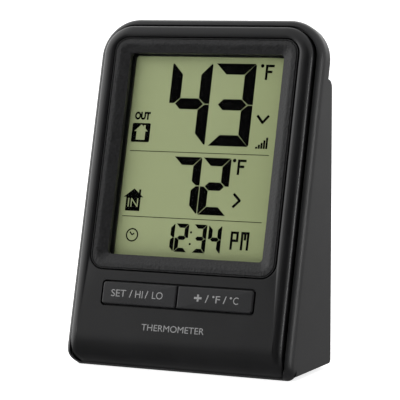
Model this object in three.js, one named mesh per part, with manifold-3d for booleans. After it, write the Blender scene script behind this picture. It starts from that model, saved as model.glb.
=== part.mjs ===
// Desk maximum-minimum thermometer: a leaning front with a liquid-crystal display and two keys,
// a wedge-shaped rear shell that holds two AA cells, and the electronics between them.
//
// Millimetres. X runs to the viewer's right, Y from front to back, Z up. The origin is on the
// surface that it stands on, under the middle of its bounding box.
//
// Pieces that follow the leaning front are built in the face frame: x across, y the depth behind
// the face, z up along the face. The group "leaning" carries that frame into the upright one.

import * as THREE from 'three';
import { mergeVertices } from 'three/addons/utils/BufferGeometryUtils.js';
import Module from 'manifold-3d';

const wasm = await Module();
wasm.setup();

// Case, in the face frame unless it says otherwise
const LEAN = THREE.MathUtils.degToRad(15);
const STAND_DEPTH = 40; // upright, front of the lower roll to the rear wall
const CASE_WIDTH = 89;
const RIM_TOP = 128.7;
const RIM_BOTTOM = 0.35;
const RIM_CORNER = { low: 3.5, high: 14.5 };
const RIM_FRONT = 3.2;
const ARCH_DEPTH = 11.1;
const BULLNOSE = { depth: 4, inset: 2.4 };
const FACE_WIDTH = 83;
const FACE_TOP = 125.2;
const FACE_BOTTOM = 0.9;
const FACE_CORNER = { low: 3.5, high: 11 };
const FACE_EDGE = 2;
const SKIRT_BACK = 8.8;
const ROLL = 10; // radius that turns the leaning face into the underside
const RIM_ROLL = 6.8;
const LAND_DROP = 0.25; // cut off the rim's lowest edge, which leaves a flat to stand on
const SHADOW_GAP = { width: 0.9, depth: 5 };
const WALL = 2;
const REAR_WALL = 2.2;
const CLEAR = 0.3; // between neighbours that don't touch

// Wedge behind the arch, upright
const WEDGE_BOTTOM = 1.6;
const SHOULDER_Z = 104.3;
const SHOULDER_RADIUS = 3.5;
const HEEL_RADIUS = 1.5;

// Window and display, in the face frame
const SURROUND = { halfWidth: 36.8, bottom: 34.4, top: 120.8, corner: 5.75 };
const SURROUND_LAND = 2.8; // from the surround's edge, gap included, to the start of its slope
const WINDOW = { halfWidth: 30.9, bottom: 40.4, top: 115.1, corner: 1.5 };
const WINDOW_SINK = 1.6; // the surround slopes back this far to the window's edge
const FLANGE = { reach: 1.5, front: 2.3, back: 3.3 };
const LENS = { front: 3.6, back: 4.6, reach: 2.6 };
const HOLDER = { halfWidth: 36.2, bottom: 34.9, top: 120.2, front: 4.9, back: 8.6 };
const GLASS = { halfWidth: 31, bottom: 36.6, top: 118.4, front: 6.2, thickness: 1 };
const GLASS_LEDGE = 3.6; // the front glass reaches this far below the rear one
const BOARD = { halfWidth: 34.6, bottom: 8, top: 101, front: 10.3, thickness: 1.2 };

// Keys and their switches, in the face frame
const KEYS = { halfWidth: 30, bottom: 21.7, top: 30.5, corner: 1.5 };
const KEY_SPLIT = 0.5;
const KEY_PROUD = 0.35;
const KEY_STEM = { halfWidth: 4, halfHeight: 3, back: 5.6 };
const SWITCH = { side: 6, front: 6.8, hole: 1.8, holeDepth: 1.6 };
const PLUNGER = { radius: 1.5, front: 5.9, back: 7.6 };

// Fasteners, in the face frame
const HOUSING_SCREW_X = 38.6;
const HOUSING_SCREW_HEIGHTS = [14, 100];
const BOSS_SPLIT = 12; // the front bosses end here and the rear ones start
const SCREW_SEAT = 14.3;
const BOARD_POST = { x: 31.4, z: 12 };
const HOLDER_BOSS = { x: 32.9, z: 84, radius: 1.5 };

// Battery compartment, upright; "reach" and "inset" count in from the rear wall's outer face
const CELL = { radius: 7.25, length: 50.5, nubRadius: 2.75, nubLength: 1.2, inset: 10.2 };
const BAY = { halfLength: 29, reach: 17.8, bottom: 5, top: 36.4, wall: 1.5 };
const CELL_HEIGHTS = [12.65, 27.95];
const CONTACT_THICKNESS = 0.5;
const CONTACT_X = BAY.halfLength - CONTACT_THICKNESS - 0.1;
const DOOR = { halfWidth: 33, bottom: 4, top: 40, thickness: 1.8 };
const LATCH = { halfWidth: 6, bottom: 38.4, top: 43.2, reach: 6, thickness: 1.2 };
const FOOT = { x: 30, inset: 7, radius: 4, height: 1.9 };

const CORNER_STEPS = 4; // an arc has twice as many sides
const ROUND_SIDES = 20;

// Where the face frame stands: the arch's top leans out furthest, so it sets the overall depth.
const sinLean = Math.sin(LEAN);
const cosLean = Math.cos(LEAN);
const ROLL_FRONT = (FACE_BOTTOM + ROLL) * sinLean + ROLL * cosLean - ROLL;
const OVERALL_DEPTH = RIM_TOP * sinLean + ARCH_DEPTH * cosLean - ROLL_FRONT;
const FRONT_Y = -OVERALL_DEPTH / 2;
const REAR_Y = FRONT_Y + STAND_DEPTH;
const FACE_Y = FRONT_Y - ROLL_FRONT;
const CELL_Y = REAR_Y - CELL.inset;
const FACE_Z = -LAND_DROP - (RIM_BOTTOM * cosLean - ARCH_DEPTH * sinLean);

const leaning = new THREE.Group();
leaning.position.set(0, FACE_Y, FACE_Z);
leaning.rotation.x = -LEAN;
leaning.updateMatrix();

const looks = {
  shell: { color: 0x2b2b2b, roughness: 0.45, metalness: 0 },
  surround: { color: 0x333333, roughness: 0.6, metalness: 0 },
  key: { color: 0x262626, roughness: 0.5, metalness: 0 },
  lens: { color: 0xdfe4e0, roughness: 0.05, metalness: 0 },
  holder: { color: 0x0c0c0c, roughness: 0.7, metalness: 0 },
  glass: { color: 0x8c9670, roughness: 0.25, metalness: 0 },
  board: { color: 0x2f6b3c, roughness: 0.5, metalness: 0 },
  blackPart: { color: 0x151515, roughness: 0.55, metalness: 0 },
  rubber: { color: 0x1a1a1a, roughness: 0.9, metalness: 0 },
  nickel: { color: 0xb9bbbd, roughness: 0.3, metalness: 1 },
  copper: { color: 0xb4693a, roughness: 0.35, metalness: 1 },
  cell: { color: 0x3a6f8f, roughness: 0.4, metalness: 0.2 },
  redWire: { color: 0xa32020, roughness: 0.5, metalness: 0 },
  blackWire: { color: 0x181818, roughness: 0.5, metalness: 0 },
};

// ---- Solids -------------------------------------------------------------------------------

// A closed geometry, welded and without collapsed triangles, as a solid that can be joined or cut.
function solid(geometry) {
  const bare = geometry.index ? geometry.toNonIndexed() : geometry.clone();
  bare.deleteAttribute('normal');
  bare.deleteAttribute('uv');
  const welded = mergeVertices(bare, 1e-4);
  const triangles = [];
  const index = welded.index.array;
  for (let i = 0; i < index.length; i += 3) {
    const [a, b, c] = [index[i], index[i + 1], index[i + 2]];
    if (a !== b && b !== c && c !== a) triangles.push(a, b, c);
  }
  return new wasm.Manifold(new wasm.Mesh({
    numProp: 3,
    vertProperties: new Float32Array(welded.attributes.position.array),
    triVerts: new Uint32Array(triangles),
  }));
}

function geometryOf(body) {
  const mesh = body.getMesh();
  const geometry = new THREE.BufferGeometry();
  geometry.setAttribute('position', new THREE.BufferAttribute(mesh.vertProperties, 3));
  geometry.setIndex(new THREE.BufferAttribute(mesh.triVerts, 1));
  geometry.computeVertexNormals();
  return geometry;
}

// A box between two corners given as [x, y, z].
function block(low, high) {
  const size = high.map((value, axis) => value - low[axis]);
  const geometry = new THREE.BoxGeometry(...size);
  geometry.translate(...low.map((value, axis) => value + size[axis] / 2));
  return solid(geometry);
}

// A round bar along Y from one depth to another.
function post(x, z, radius, front, back, sides = ROUND_SIDES) {
  const geometry = new THREE.CylinderGeometry(radius, radius, back - front, sides);
  geometry.translate(x, (front + back) / 2, z);
  return solid(geometry);
}

// A turned piece about Y: the profile's points are [radius, depth], from the axis back to it.
function turned(profile, sides = ROUND_SIDES) {
  return new THREE.LatheGeometry(profile.map(([r, y]) => new THREE.Vector2(r, y)), sides);
}

// A rectangle with rounded corners, its lower and upper pairs with their own radii.
function roundedRectangle(halfWidth, bottom, top, low, high = low) {
  const outline = new THREE.Shape();
  outline.moveTo(-halfWidth + low, bottom);
  outline.absarc(halfWidth - low, bottom + low, low, -Math.PI / 2, 0);
  outline.absarc(halfWidth - high, top - high, high, 0, Math.PI / 2);
  outline.absarc(-halfWidth + high, top - high, high, Math.PI / 2, Math.PI);
  outline.absarc(-halfWidth + low, bottom + low, low, Math.PI, Math.PI * 1.5);
  return outline;
}

// An outline in the face's plane, made solid from one depth to another.
function slab(outline, front, back) {
  const options = { depth: back - front, bevelEnabled: false, curveSegments: CORNER_STEPS };
  const geometry = new THREE.ExtrudeGeometry(outline, options);
  geometry.rotateX(Math.PI / 2);
  geometry.translate(0, back, 0);
  return solid(geometry);
}

// A slab whose front edge is rounded: it is inset by "inset" at the front and full at "edge".
function roundedSlab(outline, front, back, edge, inset) {
  const geometry = new THREE.ExtrudeGeometry(outline, {
    depth: back - front - edge,
    bevelThickness: edge,
    bevelSize: inset,
    bevelOffset: -inset,
    bevelSegments: 4,
    curveSegments: CORNER_STEPS,
  });
  geometry.rotateX(Math.PI / 2);
  geometry.translate(0, back, 0);
  const half = CASE_WIDTH;
  return solid(geometry).intersect(block([-half, front - 1, -half], [half, back, 2 * half]));
}

// A closed skin over rings of [outline, depth], front to back, whose outlines have as many points.
function loft(rings) {
  const outlines = rings.map(([outline]) => outline.getPoints(CORNER_STEPS));
  const count = outlines[0].length;
  const positions = outlines.flatMap((points, ring) => points.flatMap(({ x, y }) => [x, rings[ring][1], y]));
  const triangles = THREE.ShapeUtils.triangulateShape(outlines[0], []).flat();
  const last = (rings.length - 1) * count;
  triangles.push(...THREE.ShapeUtils.triangulateShape(outlines.at(-1), [])
    .flatMap(([a, b, c]) => [last + a, last + c, last + b]));
  for (let ring = 0; ring < rings.length - 1; ring += 1) {
    for (let i = 0; i < count; i += 1) {
      const [a, b] = [ring * count + i, ring * count + ((i + 1) % count)];
      triangles.push(a, a + count, b, b, a + count, b + count);
    }
  }
  const geometry = new THREE.BufferGeometry();
  geometry.setAttribute('position', new THREE.Float32BufferAttribute(positions, 3));
  geometry.setIndex(triangles);
  return solid(geometry);
}

// A side profile, drawn in (y, z), made solid from one x to another.
function prism(profile, left, right) {
  const options = { depth: right - left, bevelEnabled: false, curveSegments: CORNER_STEPS };
  const geometry = new THREE.ExtrudeGeometry(profile, options);
  const x = new THREE.Vector3(1, 0, 0);
  const y = new THREE.Vector3(0, 1, 0);
  const z = new THREE.Vector3(0, 0, 1);
  geometry.applyMatrix4(new THREE.Matrix4().makeBasis(y, z, x));
  geometry.translate(left, 0, 0);
  return solid(geometry);
}

// A box whose lower front edge is a roll about (ROLL, bottom + radius): it trims what it meets.
function rollTrim(front, bottom, radius) {
  const far = 2 * RIM_TOP;
  const profile = new THREE.Shape();
  profile.moveTo(front, far);
  profile.lineTo(front, bottom + radius);
  profile.absarc(front + radius, bottom + radius, radius, Math.PI, Math.PI * 1.5);
  profile.lineTo(far, bottom);
  profile.lineTo(far, far);
  return prism(profile, -CASE_WIDTH, CASE_WIDTH);
}

// A solid of the face frame, carried into the upright frame.
function upright(body) {
  return solid(geometryOf(body).applyMatrix4(leaning.matrix));
}

// The upright y at which the plane "depth" behind the face meets the height z.
function leaningY(depth, z) {
  const alongFace = (z - FACE_Z + depth * sinLean) / cosLean;
  return FACE_Y + alongFace * sinLean + depth * cosLean;
}

function union(bodies) {
  return bodies.reduce((sum, body) => sum.add(body));
}

function bothSides(make) {
  return [-1, 1].map(make);
}

// A round wire or spring along a curve.
function wire(curve, radius, steps, sides = 8) {
  const section = new THREE.Shape();
  section.absarc(0, 0, radius, 0, Math.PI * 2);
  return new THREE.ExtrudeGeometry(section, { steps, extrudePath: curve, curveSegments: sides / 2 });
}

// A conical or straight helix along X.
class Helix extends THREE.Curve {
  constructor(start, length, startRadius, endRadius, turns) {
    super();
    Object.assign(this, { start, length, startRadius, endRadius, turns });
  }

  getPoint(t, target = new THREE.Vector3()) {
    const angle = t * this.turns * Math.PI * 2;
    const radius = THREE.MathUtils.lerp(this.startRadius, this.endRadius, t);
    const [x, y, z] = this.start;
    return target.set(x + t * this.length, y + radius * Math.cos(angle), z + radius * Math.sin(angle));
  }
}

function piece(name, shape, look) {
  const geometry = shape instanceof THREE.BufferGeometry ? geometryOf(solid(shape)) : geometryOf(shape);
  const mesh = new THREE.Mesh(geometry, new THREE.MeshStandardMaterial(look));
  mesh.name = name;
  return mesh;
}

// ---- Front shell, window and display (face frame) ------------------------------------------

function frontHousing() {
  const half = FACE_WIDTH / 2;
  const outer = roundedRectangle(half, FACE_BOTTOM, FACE_TOP, FACE_CORNER.low, FACE_CORNER.high);
  const shell = roundedSlab(outer, 0, SKIRT_BACK, FACE_EDGE, FACE_EDGE)
    .intersect(rollTrim(0, FACE_BOTTOM, ROLL));
  const innerCorner = { low: FACE_CORNER.low - WALL, high: FACE_CORNER.high - WALL };
  const inner = roundedRectangle(
    half - WALL, FACE_BOTTOM + WALL, FACE_TOP - WALL, innerCorner.low, innerCorner.high);
  const hollow = slab(inner, WALL, 2 * SKIRT_BACK)
    .intersect(rollTrim(WALL, FACE_BOTTOM + WALL, ROLL - WALL));
  const window = roundedRectangle(SURROUND.halfWidth, SURROUND.bottom, SURROUND.top, SURROUND.corner);
  const keyhole = roundedRectangle(KEYS.halfWidth, KEYS.bottom, KEYS.top, KEYS.corner);
  return shell
    .subtract(hollow)
    .add(union([...frontBosses(), ...boardPosts(), ...snapRidges(0)]))
    .subtract(slab(window, -1, SKIRT_BACK))
    .subtract(slab(keyhole, -1, SKIRT_BACK))
    .subtract(union([...screwPilots()]));
}

// Posts that the housing screws bite into.
function frontBosses() {
  return HOUSING_SCREW_HEIGHTS.flatMap((z) => bothSides(
    (side) => post(side * HOUSING_SCREW_X, z, 2.5, WALL - 0.2, BOSS_SPLIT - CLEAR)));
}

// Posts that the lower corners of the board are screwed to.
function boardPosts() {
  return bothSides((side) => post(side * BOARD_POST.x, BOARD_POST.z, 2.2, WALL - 0.2, BOARD.front - CLEAR));
}

function screwPilots() {
  const housing = HOUSING_SCREW_HEIGHTS.flatMap((z) => bothSides(
    (side) => post(side * HOUSING_SCREW_X, z, 1.5, WALL + 1, BOSS_SPLIT + 1, 12)));
  const board = bothSides(
    (side) => post(side * BOARD_POST.x, BOARD_POST.z, 1.1, WALL + 1, BOARD.front + 1, 12));
  return [...housing, ...board];
}

// Two ridges on top of the skirt click into pockets of the rear shell, which are "grown" larger.
function snapRidges(grown) {
  return bothSides((side) => block(
    [side * 19 - 4 - grown, 6 - grown, FACE_TOP - 0.5],
    [side * 19 + 4 + grown, 7.4 + grown, FACE_TOP + 0.6 + grown]));
}

function windowSurround() {
  const outer = roundedRectangle(
    SURROUND.halfWidth - CLEAR, SURROUND.bottom + CLEAR, SURROUND.top - CLEAR, SURROUND.corner - CLEAR);
  const flange = roundedRectangle(
    SURROUND.halfWidth + FLANGE.reach, SURROUND.bottom - FLANGE.reach, SURROUND.top + FLANGE.reach,
    SURROUND.corner + FLANGE.reach);
  const bossRoom = HOUSING_SCREW_HEIGHTS.flatMap((z) => bothSides(
    (side) => post(side * HOUSING_SCREW_X, z, 2.5 + CLEAR, FLANGE.front - 0.1, FLANGE.back + 1)));
  return slab(outer, 0, FLANGE.front + 0.1)
    .add(slab(flange, FLANGE.front, FLANGE.back))
    .subtract(windowCut())
    .subtract(union(bossRoom));
}

// What the surround leaves out: a pyramid stump that narrows to the window, then the window itself.
function windowCut() {
  const run = SURROUND.halfWidth - WINDOW.halfWidth - SURROUND_LAND;
  const { halfWidth, bottom, top, corner } = WINDOW;
  const wide = roundedRectangle(halfWidth + run, bottom - run, top + run, corner + run);
  const narrow = roundedRectangle(halfWidth, bottom, top, corner);
  return loft([[wide, -1], [wide, 0], [narrow, WINDOW_SINK], [narrow, FLANGE.back + 1]]);
}

function windowLens() {
  const outline = roundedRectangle(
    WINDOW.halfWidth + LENS.reach, WINDOW.bottom - LENS.reach, WINDOW.top + LENS.reach, 1.5);
  return slab(outline, LENS.front, LENS.back);
}

// The black frame that the display glass sits in, with two bosses for the board's upper screws.
function displayHolder() {
  const outer = roundedRectangle(HOLDER.halfWidth, HOLDER.bottom, HOLDER.top, 2);
  const well = roundedRectangle(WINDOW.halfWidth - 0.7, WINDOW.bottom - 0.3, WINDOW.top - 0.3, 1);
  const pocket = roundedRectangle(
    GLASS.halfWidth + CLEAR, GLASS.bottom - CLEAR, GLASS.top + CLEAR, 0.5);
  const bossEnd = BOARD.front - CLEAR;
  const bosses = bothSides(
    (side) => post(side * HOLDER_BOSS.x, HOLDER_BOSS.z, HOLDER_BOSS.radius, HOLDER.front + 1, bossEnd, 16));
  const pilots = bothSides(
    (side) => post(side * HOLDER_BOSS.x, HOLDER_BOSS.z, 1.1, HOLDER.front + 1.5, bossEnd + 1, 12));
  return slab(outer, HOLDER.front, HOLDER.back)
    .subtract(slab(well, 0, HOLDER.back))
    .subtract(slab(pocket, GLASS.front - CLEAR, HOLDER.back + 1))
    .add(union(bosses))
    .subtract(union(pilots))
    .subtract(zebraRoom());
}

// The notch below the glass that the rubber contact strip passes through.
function zebraRoom() {
  return block([-30.6, GLASS.front, GLASS.bottom - CLEAR], [30.6, HOLDER.back + 1, 40]);
}

function displayFrontGlass() {
  return slab(roundedRectangle(GLASS.halfWidth, GLASS.bottom, GLASS.top, 0.4),
    GLASS.front, GLASS.front + GLASS.thickness);
}

function displayRearGlass() {
  const front = GLASS.front + GLASS.thickness + 0.2;
  return slab(roundedRectangle(GLASS.halfWidth, GLASS.bottom + GLASS_LEDGE, GLASS.top, 0.4),
    front, front + GLASS.thickness);
}

// The striped rubber strip that joins the glass to the board.
function zebraStrip() {
  const front = GLASS.front + GLASS.thickness + 0.2;
  return block([-29.6, front, GLASS.bottom + 0.4], [29.6, BOARD.front - 0.2, GLASS.bottom + 2.8]);
}

// ---- Electronics (face frame) ---------------------------------------------------------------

function mainBoard() {
  const outline = roundedRectangle(BOARD.halfWidth, BOARD.bottom, BOARD.top, 1.5);
  const holes = bothSides((side) => [
    post(side * BOARD_POST.x, BOARD_POST.z, 1.5, 0, 20, 12),
    post(side * HOLDER_BOSS.x, HOLDER_BOSS.z, 1.3, 0, 20, 12),
  ]).flat();
  return slab(outline, BOARD.front, BOARD.front + BOARD.thickness).subtract(union(holes));
}

const boardBack = BOARD.front + BOARD.thickness;

// The hardened drop of black resin over the bonded chip.
function chipCover() {
  const back = boardBack + 0.2;
  return turned([[0, back], [8, back], [7.2, back + 0.9], [5, back + 1.5], [0, back + 1.8]], 16);
}

function clockCrystal() {
  return new THREE.CylinderGeometry(1, 1, 6, 12).rotateZ(Math.PI / 2);
}

function smoothingCapacitor() {
  return turned([[0, 0], [2.3, 0], [2.5, 0.3], [2.5, 6.7], [2.2, 7], [0, 7]], 16);
}

// The glass bead that feels the room's temperature, on two stiff leads.
function indoorSensor() {
  const leads = bothSides((side) => block([side * 0.9 - 0.25, 0, -0.25], [side * 0.9 + 0.25, 6, 0.25]));
  const bead = new THREE.SphereGeometry(1.5, 12, 8);
  bead.translate(0, 6.6, 0);
  return union([...leads, solid(bead)]);
}

// The small upright board that hears the outdoor sensor.
function receiverBoard() {
  return new THREE.BoxGeometry(26, 10, 1);
}

function antennaCoil() {
  return wire(new Helix([0, 0, 0], 15, 2.4, 2.4, 7), 0.4, 63, 6);
}

function switchBody() {
  const half = SWITCH.side / 2;
  return block([-half, SWITCH.front, -half], [half, BOARD.front - 0.2, half])
    .subtract(post(0, 0, SWITCH.hole, 0, SWITCH.front + SWITCH.holeDepth, 16));
}

function switchPlunger() {
  return post(0, 0, PLUNGER.radius, PLUNGER.front, PLUNGER.back, 16);
}

// One key: side is -1 for the left and 1 for the right. Its flange stays behind the front shell.
function key(side) {
  const inner = KEY_SPLIT / 2;
  const outer = KEYS.halfWidth - CLEAR;
  const cap = roundedRectangle(outer, KEYS.bottom + CLEAR, KEYS.top - CLEAR, KEYS.corner - CLEAR);
  const reach = 1;
  const flange = roundedRectangle(outer + reach, KEYS.bottom - reach, KEYS.top + reach, KEYS.corner);
  const whole = roundedSlab(cap, -KEY_PROUD, WALL + 0.5, 0.5, 0.5)
    .add(slab(flange, WALL + CLEAR, WALL + 1.3));
  const half = side > 0 ? block([inner, -5, 0], [90, 20, 90]) : block([-90, -5, 0], [-inner, 20, 90]);
  const middle = (KEYS.bottom + KEYS.top) / 2;
  const centre = side * KEYS.halfWidth / 2;
  const stem = block(
    [centre - KEY_STEM.halfWidth, WALL + 1, middle - KEY_STEM.halfHeight],
    [centre + KEY_STEM.halfWidth, KEY_STEM.back, middle + KEY_STEM.halfHeight]);
  return whole.intersect(half).add(stem);
}

// A pan-head screw that points to the front: "length" is its shank, y = 0 the head's seat.
function screw(headRadius, headHeight, shankRadius, length) {
  return turned([
    [0, -length],
    [shankRadius * 0.5, -length],
    [shankRadius, -length + 1],
    [shankRadius, 0],
    [headRadius, 0],
    [headRadius, headHeight * 0.6],
    [headRadius * 0.7, headHeight],
    [0, headHeight],
  ], 12);
}

// ---- Rear shell, door and feet (upright) ----------------------------------------------------

// The shell's outer shape: the arched rim that follows the face, and the wedge behind it.
function rearOuter() {
  const half = CASE_WIDTH / 2;
  const arch = roundedRectangle(half, RIM_BOTTOM, RIM_TOP, RIM_CORNER.low, RIM_CORNER.high);
  const rim = roundedSlab(arch, RIM_FRONT, ARCH_DEPTH, BULLNOSE.depth, BULLNOSE.inset)
    .intersect(rollTrim(RIM_FRONT, RIM_BOTTOM, RIM_ROLL));
  const wedge = new THREE.Shape();
  wedge.moveTo(leaningY(ARCH_DEPTH - 1, WEDGE_BOTTOM), WEDGE_BOTTOM);
  wedge.lineTo(REAR_Y - HEEL_RADIUS, WEDGE_BOTTOM);
  wedge.absarc(REAR_Y - HEEL_RADIUS, WEDGE_BOTTOM + HEEL_RADIUS, HEEL_RADIUS, -Math.PI / 2, 0);
  wedge.absarc(REAR_Y - SHOULDER_RADIUS, SHOULDER_Z - SHOULDER_RADIUS, SHOULDER_RADIUS, 0, Math.PI / 2);
  wedge.lineTo(leaningY(ARCH_DEPTH - 1, SHOULDER_Z), SHOULDER_Z);
  return upright(rim).add(prism(wedge, -half, half));
}

// Room for the front shell: a wide mouth that leaves the shadow gap, then a close seat.
function rimMouth() {
  const gap = FACE_WIDTH / 2 + SHADOW_GAP.width;
  const mouth = roundedRectangle(
    gap, 0, FACE_TOP + SHADOW_GAP.width, FACE_CORNER.low, FACE_CORNER.high + SHADOW_GAP.width);
  const seat = roundedRectangle(
    FACE_WIDTH / 2 + CLEAR, 0, FACE_TOP + CLEAR, FACE_CORNER.low, FACE_CORNER.high + CLEAR);
  const back = ARCH_DEPTH - WALL;
  return union([slab(mouth, -5, SHADOW_GAP.depth), slab(seat, -5, back), ...snapRidges(CLEAR)]);
}

function wedgeHollow() {
  const bottom = WEDGE_BOTTOM + REAR_WALL;
  const top = SHOULDER_Z - REAR_WALL;
  const front = ARCH_DEPTH - WALL - 0.5;
  const profile = new THREE.Shape();
  profile.moveTo(leaningY(front, bottom), bottom);
  profile.lineTo(REAR_Y - REAR_WALL, bottom);
  profile.lineTo(REAR_Y - REAR_WALL, top);
  profile.lineTo(leaningY(front, top), top);
  const half = CASE_WIDTH / 2 - REAR_WALL;
  return prism(profile, -half, half);
}

// The battery bay's walls, with the ledge that the door closes on.
function batteryBay() {
  const { halfLength, reach, top, wall } = BAY;
  const front = REAR_Y - reach;
  const ledgeBack = REAR_Y - REAR_WALL + 0.1;
  const box = block(
    [-halfLength - wall, front - wall, WEDGE_BOTTOM + 1],
    [halfLength + wall, ledgeBack, top + wall]);
  const ledge = block([-35, ledgeBack - 1.6, WEDGE_BOTTOM + 1], [35, ledgeBack, 45.4]);
  return box.add(ledge);
}

// What is taken out of the bay: the room for the cells and the slots for the contacts' tabs.
function bayHollow() {
  const { halfLength, reach, bottom, top, wall } = BAY;
  const room = block([-halfLength, REAR_Y - reach, bottom], [halfLength, REAR_Y + 1, top]);
  const slots = CELL_HEIGHTS.map((z) => block(
    [-halfLength - wall - 1, CELL_Y - 2, z - 0.7], [-halfLength + 1, CELL_Y + 2, z + 0.7]));
  return union([room, ...slots]);
}

function doorOpening() {
  const plate = block(
    [-DOOR.halfWidth - CLEAR, REAR_Y - REAR_WALL + 0.1, DOOR.bottom - CLEAR],
    [DOOR.halfWidth + CLEAR, REAR_Y + 1, DOOR.top + CLEAR]);
  const finger = block(
    [-LATCH.halfWidth - 0.5, REAR_Y - LATCH.reach - 1, LATCH.bottom - CLEAR],
    [LATCH.halfWidth + 0.5, REAR_Y + 1, LATCH.top + 0.6]);
  return plate.add(finger);
}

// Tubes that reach from the rear wall to the front bosses, and the wells and holes in them.
function rearBosses() {
  return upright(union(HOUSING_SCREW_HEIGHTS.flatMap((z) => bothSides(
    (side) => post(side * HOUSING_SCREW_X, z, 3.5, BOSS_SPLIT, 45)))));
}

function screwWells() {
  return upright(union(HOUSING_SCREW_HEIGHTS.flatMap((z) => bothSides((side) => {
    const x = side * HOUSING_SCREW_X;
    return post(x, z, 2.8, SCREW_SEAT, 60).add(post(x, z, 1.7, BOSS_SPLIT - 1, 60, 12));
  }))));
}

// Slots that let the room's air reach the indoor sensor.
function vents() {
  const slots = [];
  for (let row = 0; row < 5; row += 1) {
    const z = 64 + row * 4.4;
    slots.push(block([-14, REAR_Y - 5, z], [14, REAR_Y + 1, z + 1.8]));
  }
  return union(slots);
}

function footRecesses() {
  return union(bothSides((side) => {
    const cup = new THREE.CylinderGeometry(FOOT.radius + CLEAR, FOOT.radius + CLEAR, 3, ROUND_SIDES);
    cup.rotateX(Math.PI / 2);
    cup.translate(side * FOOT.x, REAR_Y - FOOT.inset, FOOT.height + CLEAR - 1.5);
    return solid(cup);
  }));
}

function rearHousing() {
  const outer = rearOuter();
  const below = block([-90, -90, -10], [90, 90, 0]);
  return outer
    .subtract(upright(rimMouth()))
    .subtract(wedgeHollow())
    .add(batteryBay().add(rearBosses()).intersect(outer))
    .subtract(bayHollow())
    .subtract(doorOpening())
    .subtract(screwWells())
    .subtract(vents())
    .subtract(footRecesses())
    .subtract(below);
}

// The door: a plate with ribs over the cells, two tongues below and a sprung finger latch on top.
function batteryDoor() {
  const front = REAR_Y - DOOR.thickness;
  const plate = block([-DOOR.halfWidth, front, DOOR.bottom], [DOOR.halfWidth, REAR_Y, DOOR.top]);
  const ribs = [-18, 0, 18].map((x) => block([x - 0.6, front - 0.8, 8], [x + 0.6, front + 0.2, 34]));
  const tongues = bothSides((side) => block(
    [side * 20 - 4, front - 3.2, BAY.bottom + CLEAR], [side * 20 + 4, front + 0.2, BAY.bottom + 1.3]));
  const { halfWidth, bottom, top, reach, thickness } = LATCH;
  const deep = REAR_Y - reach;
  const latch = [
    block([-halfWidth, deep, bottom], [halfWidth, front + 0.2, bottom + thickness]),
    block([-halfWidth, deep, bottom], [halfWidth, deep + thickness, top]),
    block([-halfWidth, deep, top - thickness], [halfWidth, REAR_Y - 0.6, top]),
  ];
  return union([plate, ...ribs, ...tongues, ...latch]);
}

// An AA cell along X whose positive end points to +X, its middle at the origin.
function cell() {
  const can = CELL.length - CELL.nubLength;
  const start = -CELL.length / 2;
  return turned([
    [0, start],
    [CELL.radius - 0.4, start],
    [CELL.radius, start + 0.4],
    [CELL.radius, start + can - 0.4],
    [CELL.radius - 0.4, start + can],
    [CELL.nubRadius, start + can],
    [CELL.nubRadius, start + CELL.length],
    [0, start + CELL.length],
  ]).rotateZ(-Math.PI / 2);
}

// A flat spring-steel contact on an end wall of the bay, from one height to another. A tab runs
// out through the wall where a lead is soldered on.
function contactPlate(side, bottom, top, tabHeights) {
  const inner = CONTACT_X;
  const outer = CONTACT_X + CONTACT_THICKNESS;
  const [low, high] = side > 0 ? [inner, outer] : [-outer, -inner];
  const plate = block([low, CELL_Y - 5.5, bottom], [high, CELL_Y + 5.5, top]);
  const tabs = tabHeights.map((z) => block([-32.2, CELL_Y - 1.5, z - 0.25], [low + 0.1, CELL_Y + 1.5, z + 0.25]));
  return union([plate, ...tabs]);
}

// The coned spring that pushes on a cell's flat end.
function cellSpring(side, z) {
  const start = side * (CONTACT_X - 0.6);
  const length = -side * 4.7;
  return wire(new Helix([start, CELL_Y, z], length, 4.8, 3, 4), 0.4, 40, 6);
}

function lead(points) {
  const curve = new THREE.CatmullRomCurve3(points.map((point) => new THREE.Vector3(...point)));
  return wire(curve, 0.7, 18, 8);
}

// ---- Assembly -------------------------------------------------------------------------------

const thermometer = new THREE.Group();
thermometer.add(leaning);

leaning.add(piece('front_housing', frontHousing(), looks.shell));
leaning.add(piece('window_surround', windowSurround(), looks.surround));
leaning.add(piece('window_lens', windowLens(), looks.lens));
leaning.add(piece('display_holder', displayHolder(), looks.holder));
leaning.add(piece('display_front_glass', displayFrontGlass(), looks.glass));
leaning.add(piece('display_rear_glass', displayRearGlass(), looks.glass));
leaning.add(piece('zebra_strip', zebraStrip(), looks.rubber));
leaning.add(piece('main_board', mainBoard(), looks.board));

const chip = piece('chip_cover', chipCover(), looks.blackPart);
chip.position.set(2, 0, 58);
leaning.add(chip);

const crystal = piece('clock_crystal', clockCrystal(), looks.nickel);
crystal.position.set(18, boardBack + 1.3, 52);
leaning.add(crystal);

const capacitor = piece('smoothing_capacitor', smoothingCapacitor(), looks.blackPart);
capacitor.position.set(24, boardBack + 0.3, 64);
leaning.add(capacitor);

const sensor = piece('indoor_sensor', indoorSensor(), looks.blackPart);
sensor.position.set(12, boardBack + 0.3, 76);
leaning.add(sensor);

const receiver = piece('receiver_board', receiverBoard(), looks.board);
receiver.position.set(-19, boardBack + 5.4, 62);
leaning.add(receiver);

const antenna = piece('antenna_coil', antennaCoil(), looks.copper);
antenna.position.set(-28, boardBack + 4, 72);
leaning.add(antenna);

const keyMiddle = (KEYS.bottom + KEYS.top) / 2;
for (const [name, side] of [['left', -1], ['right', 1]]) {
  leaning.add(piece(`${name}_key`, key(side), looks.key));
  const body = piece(`${name}_switch`, switchBody(), looks.blackPart);
  const plunger = piece(`${name}_switch_plunger`, switchPlunger(), looks.blackPart);
  for (const mesh of [body, plunger]) {
    mesh.position.set(side * KEYS.halfWidth / 2, 0, keyMiddle);
    leaning.add(mesh);
  }
}

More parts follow.
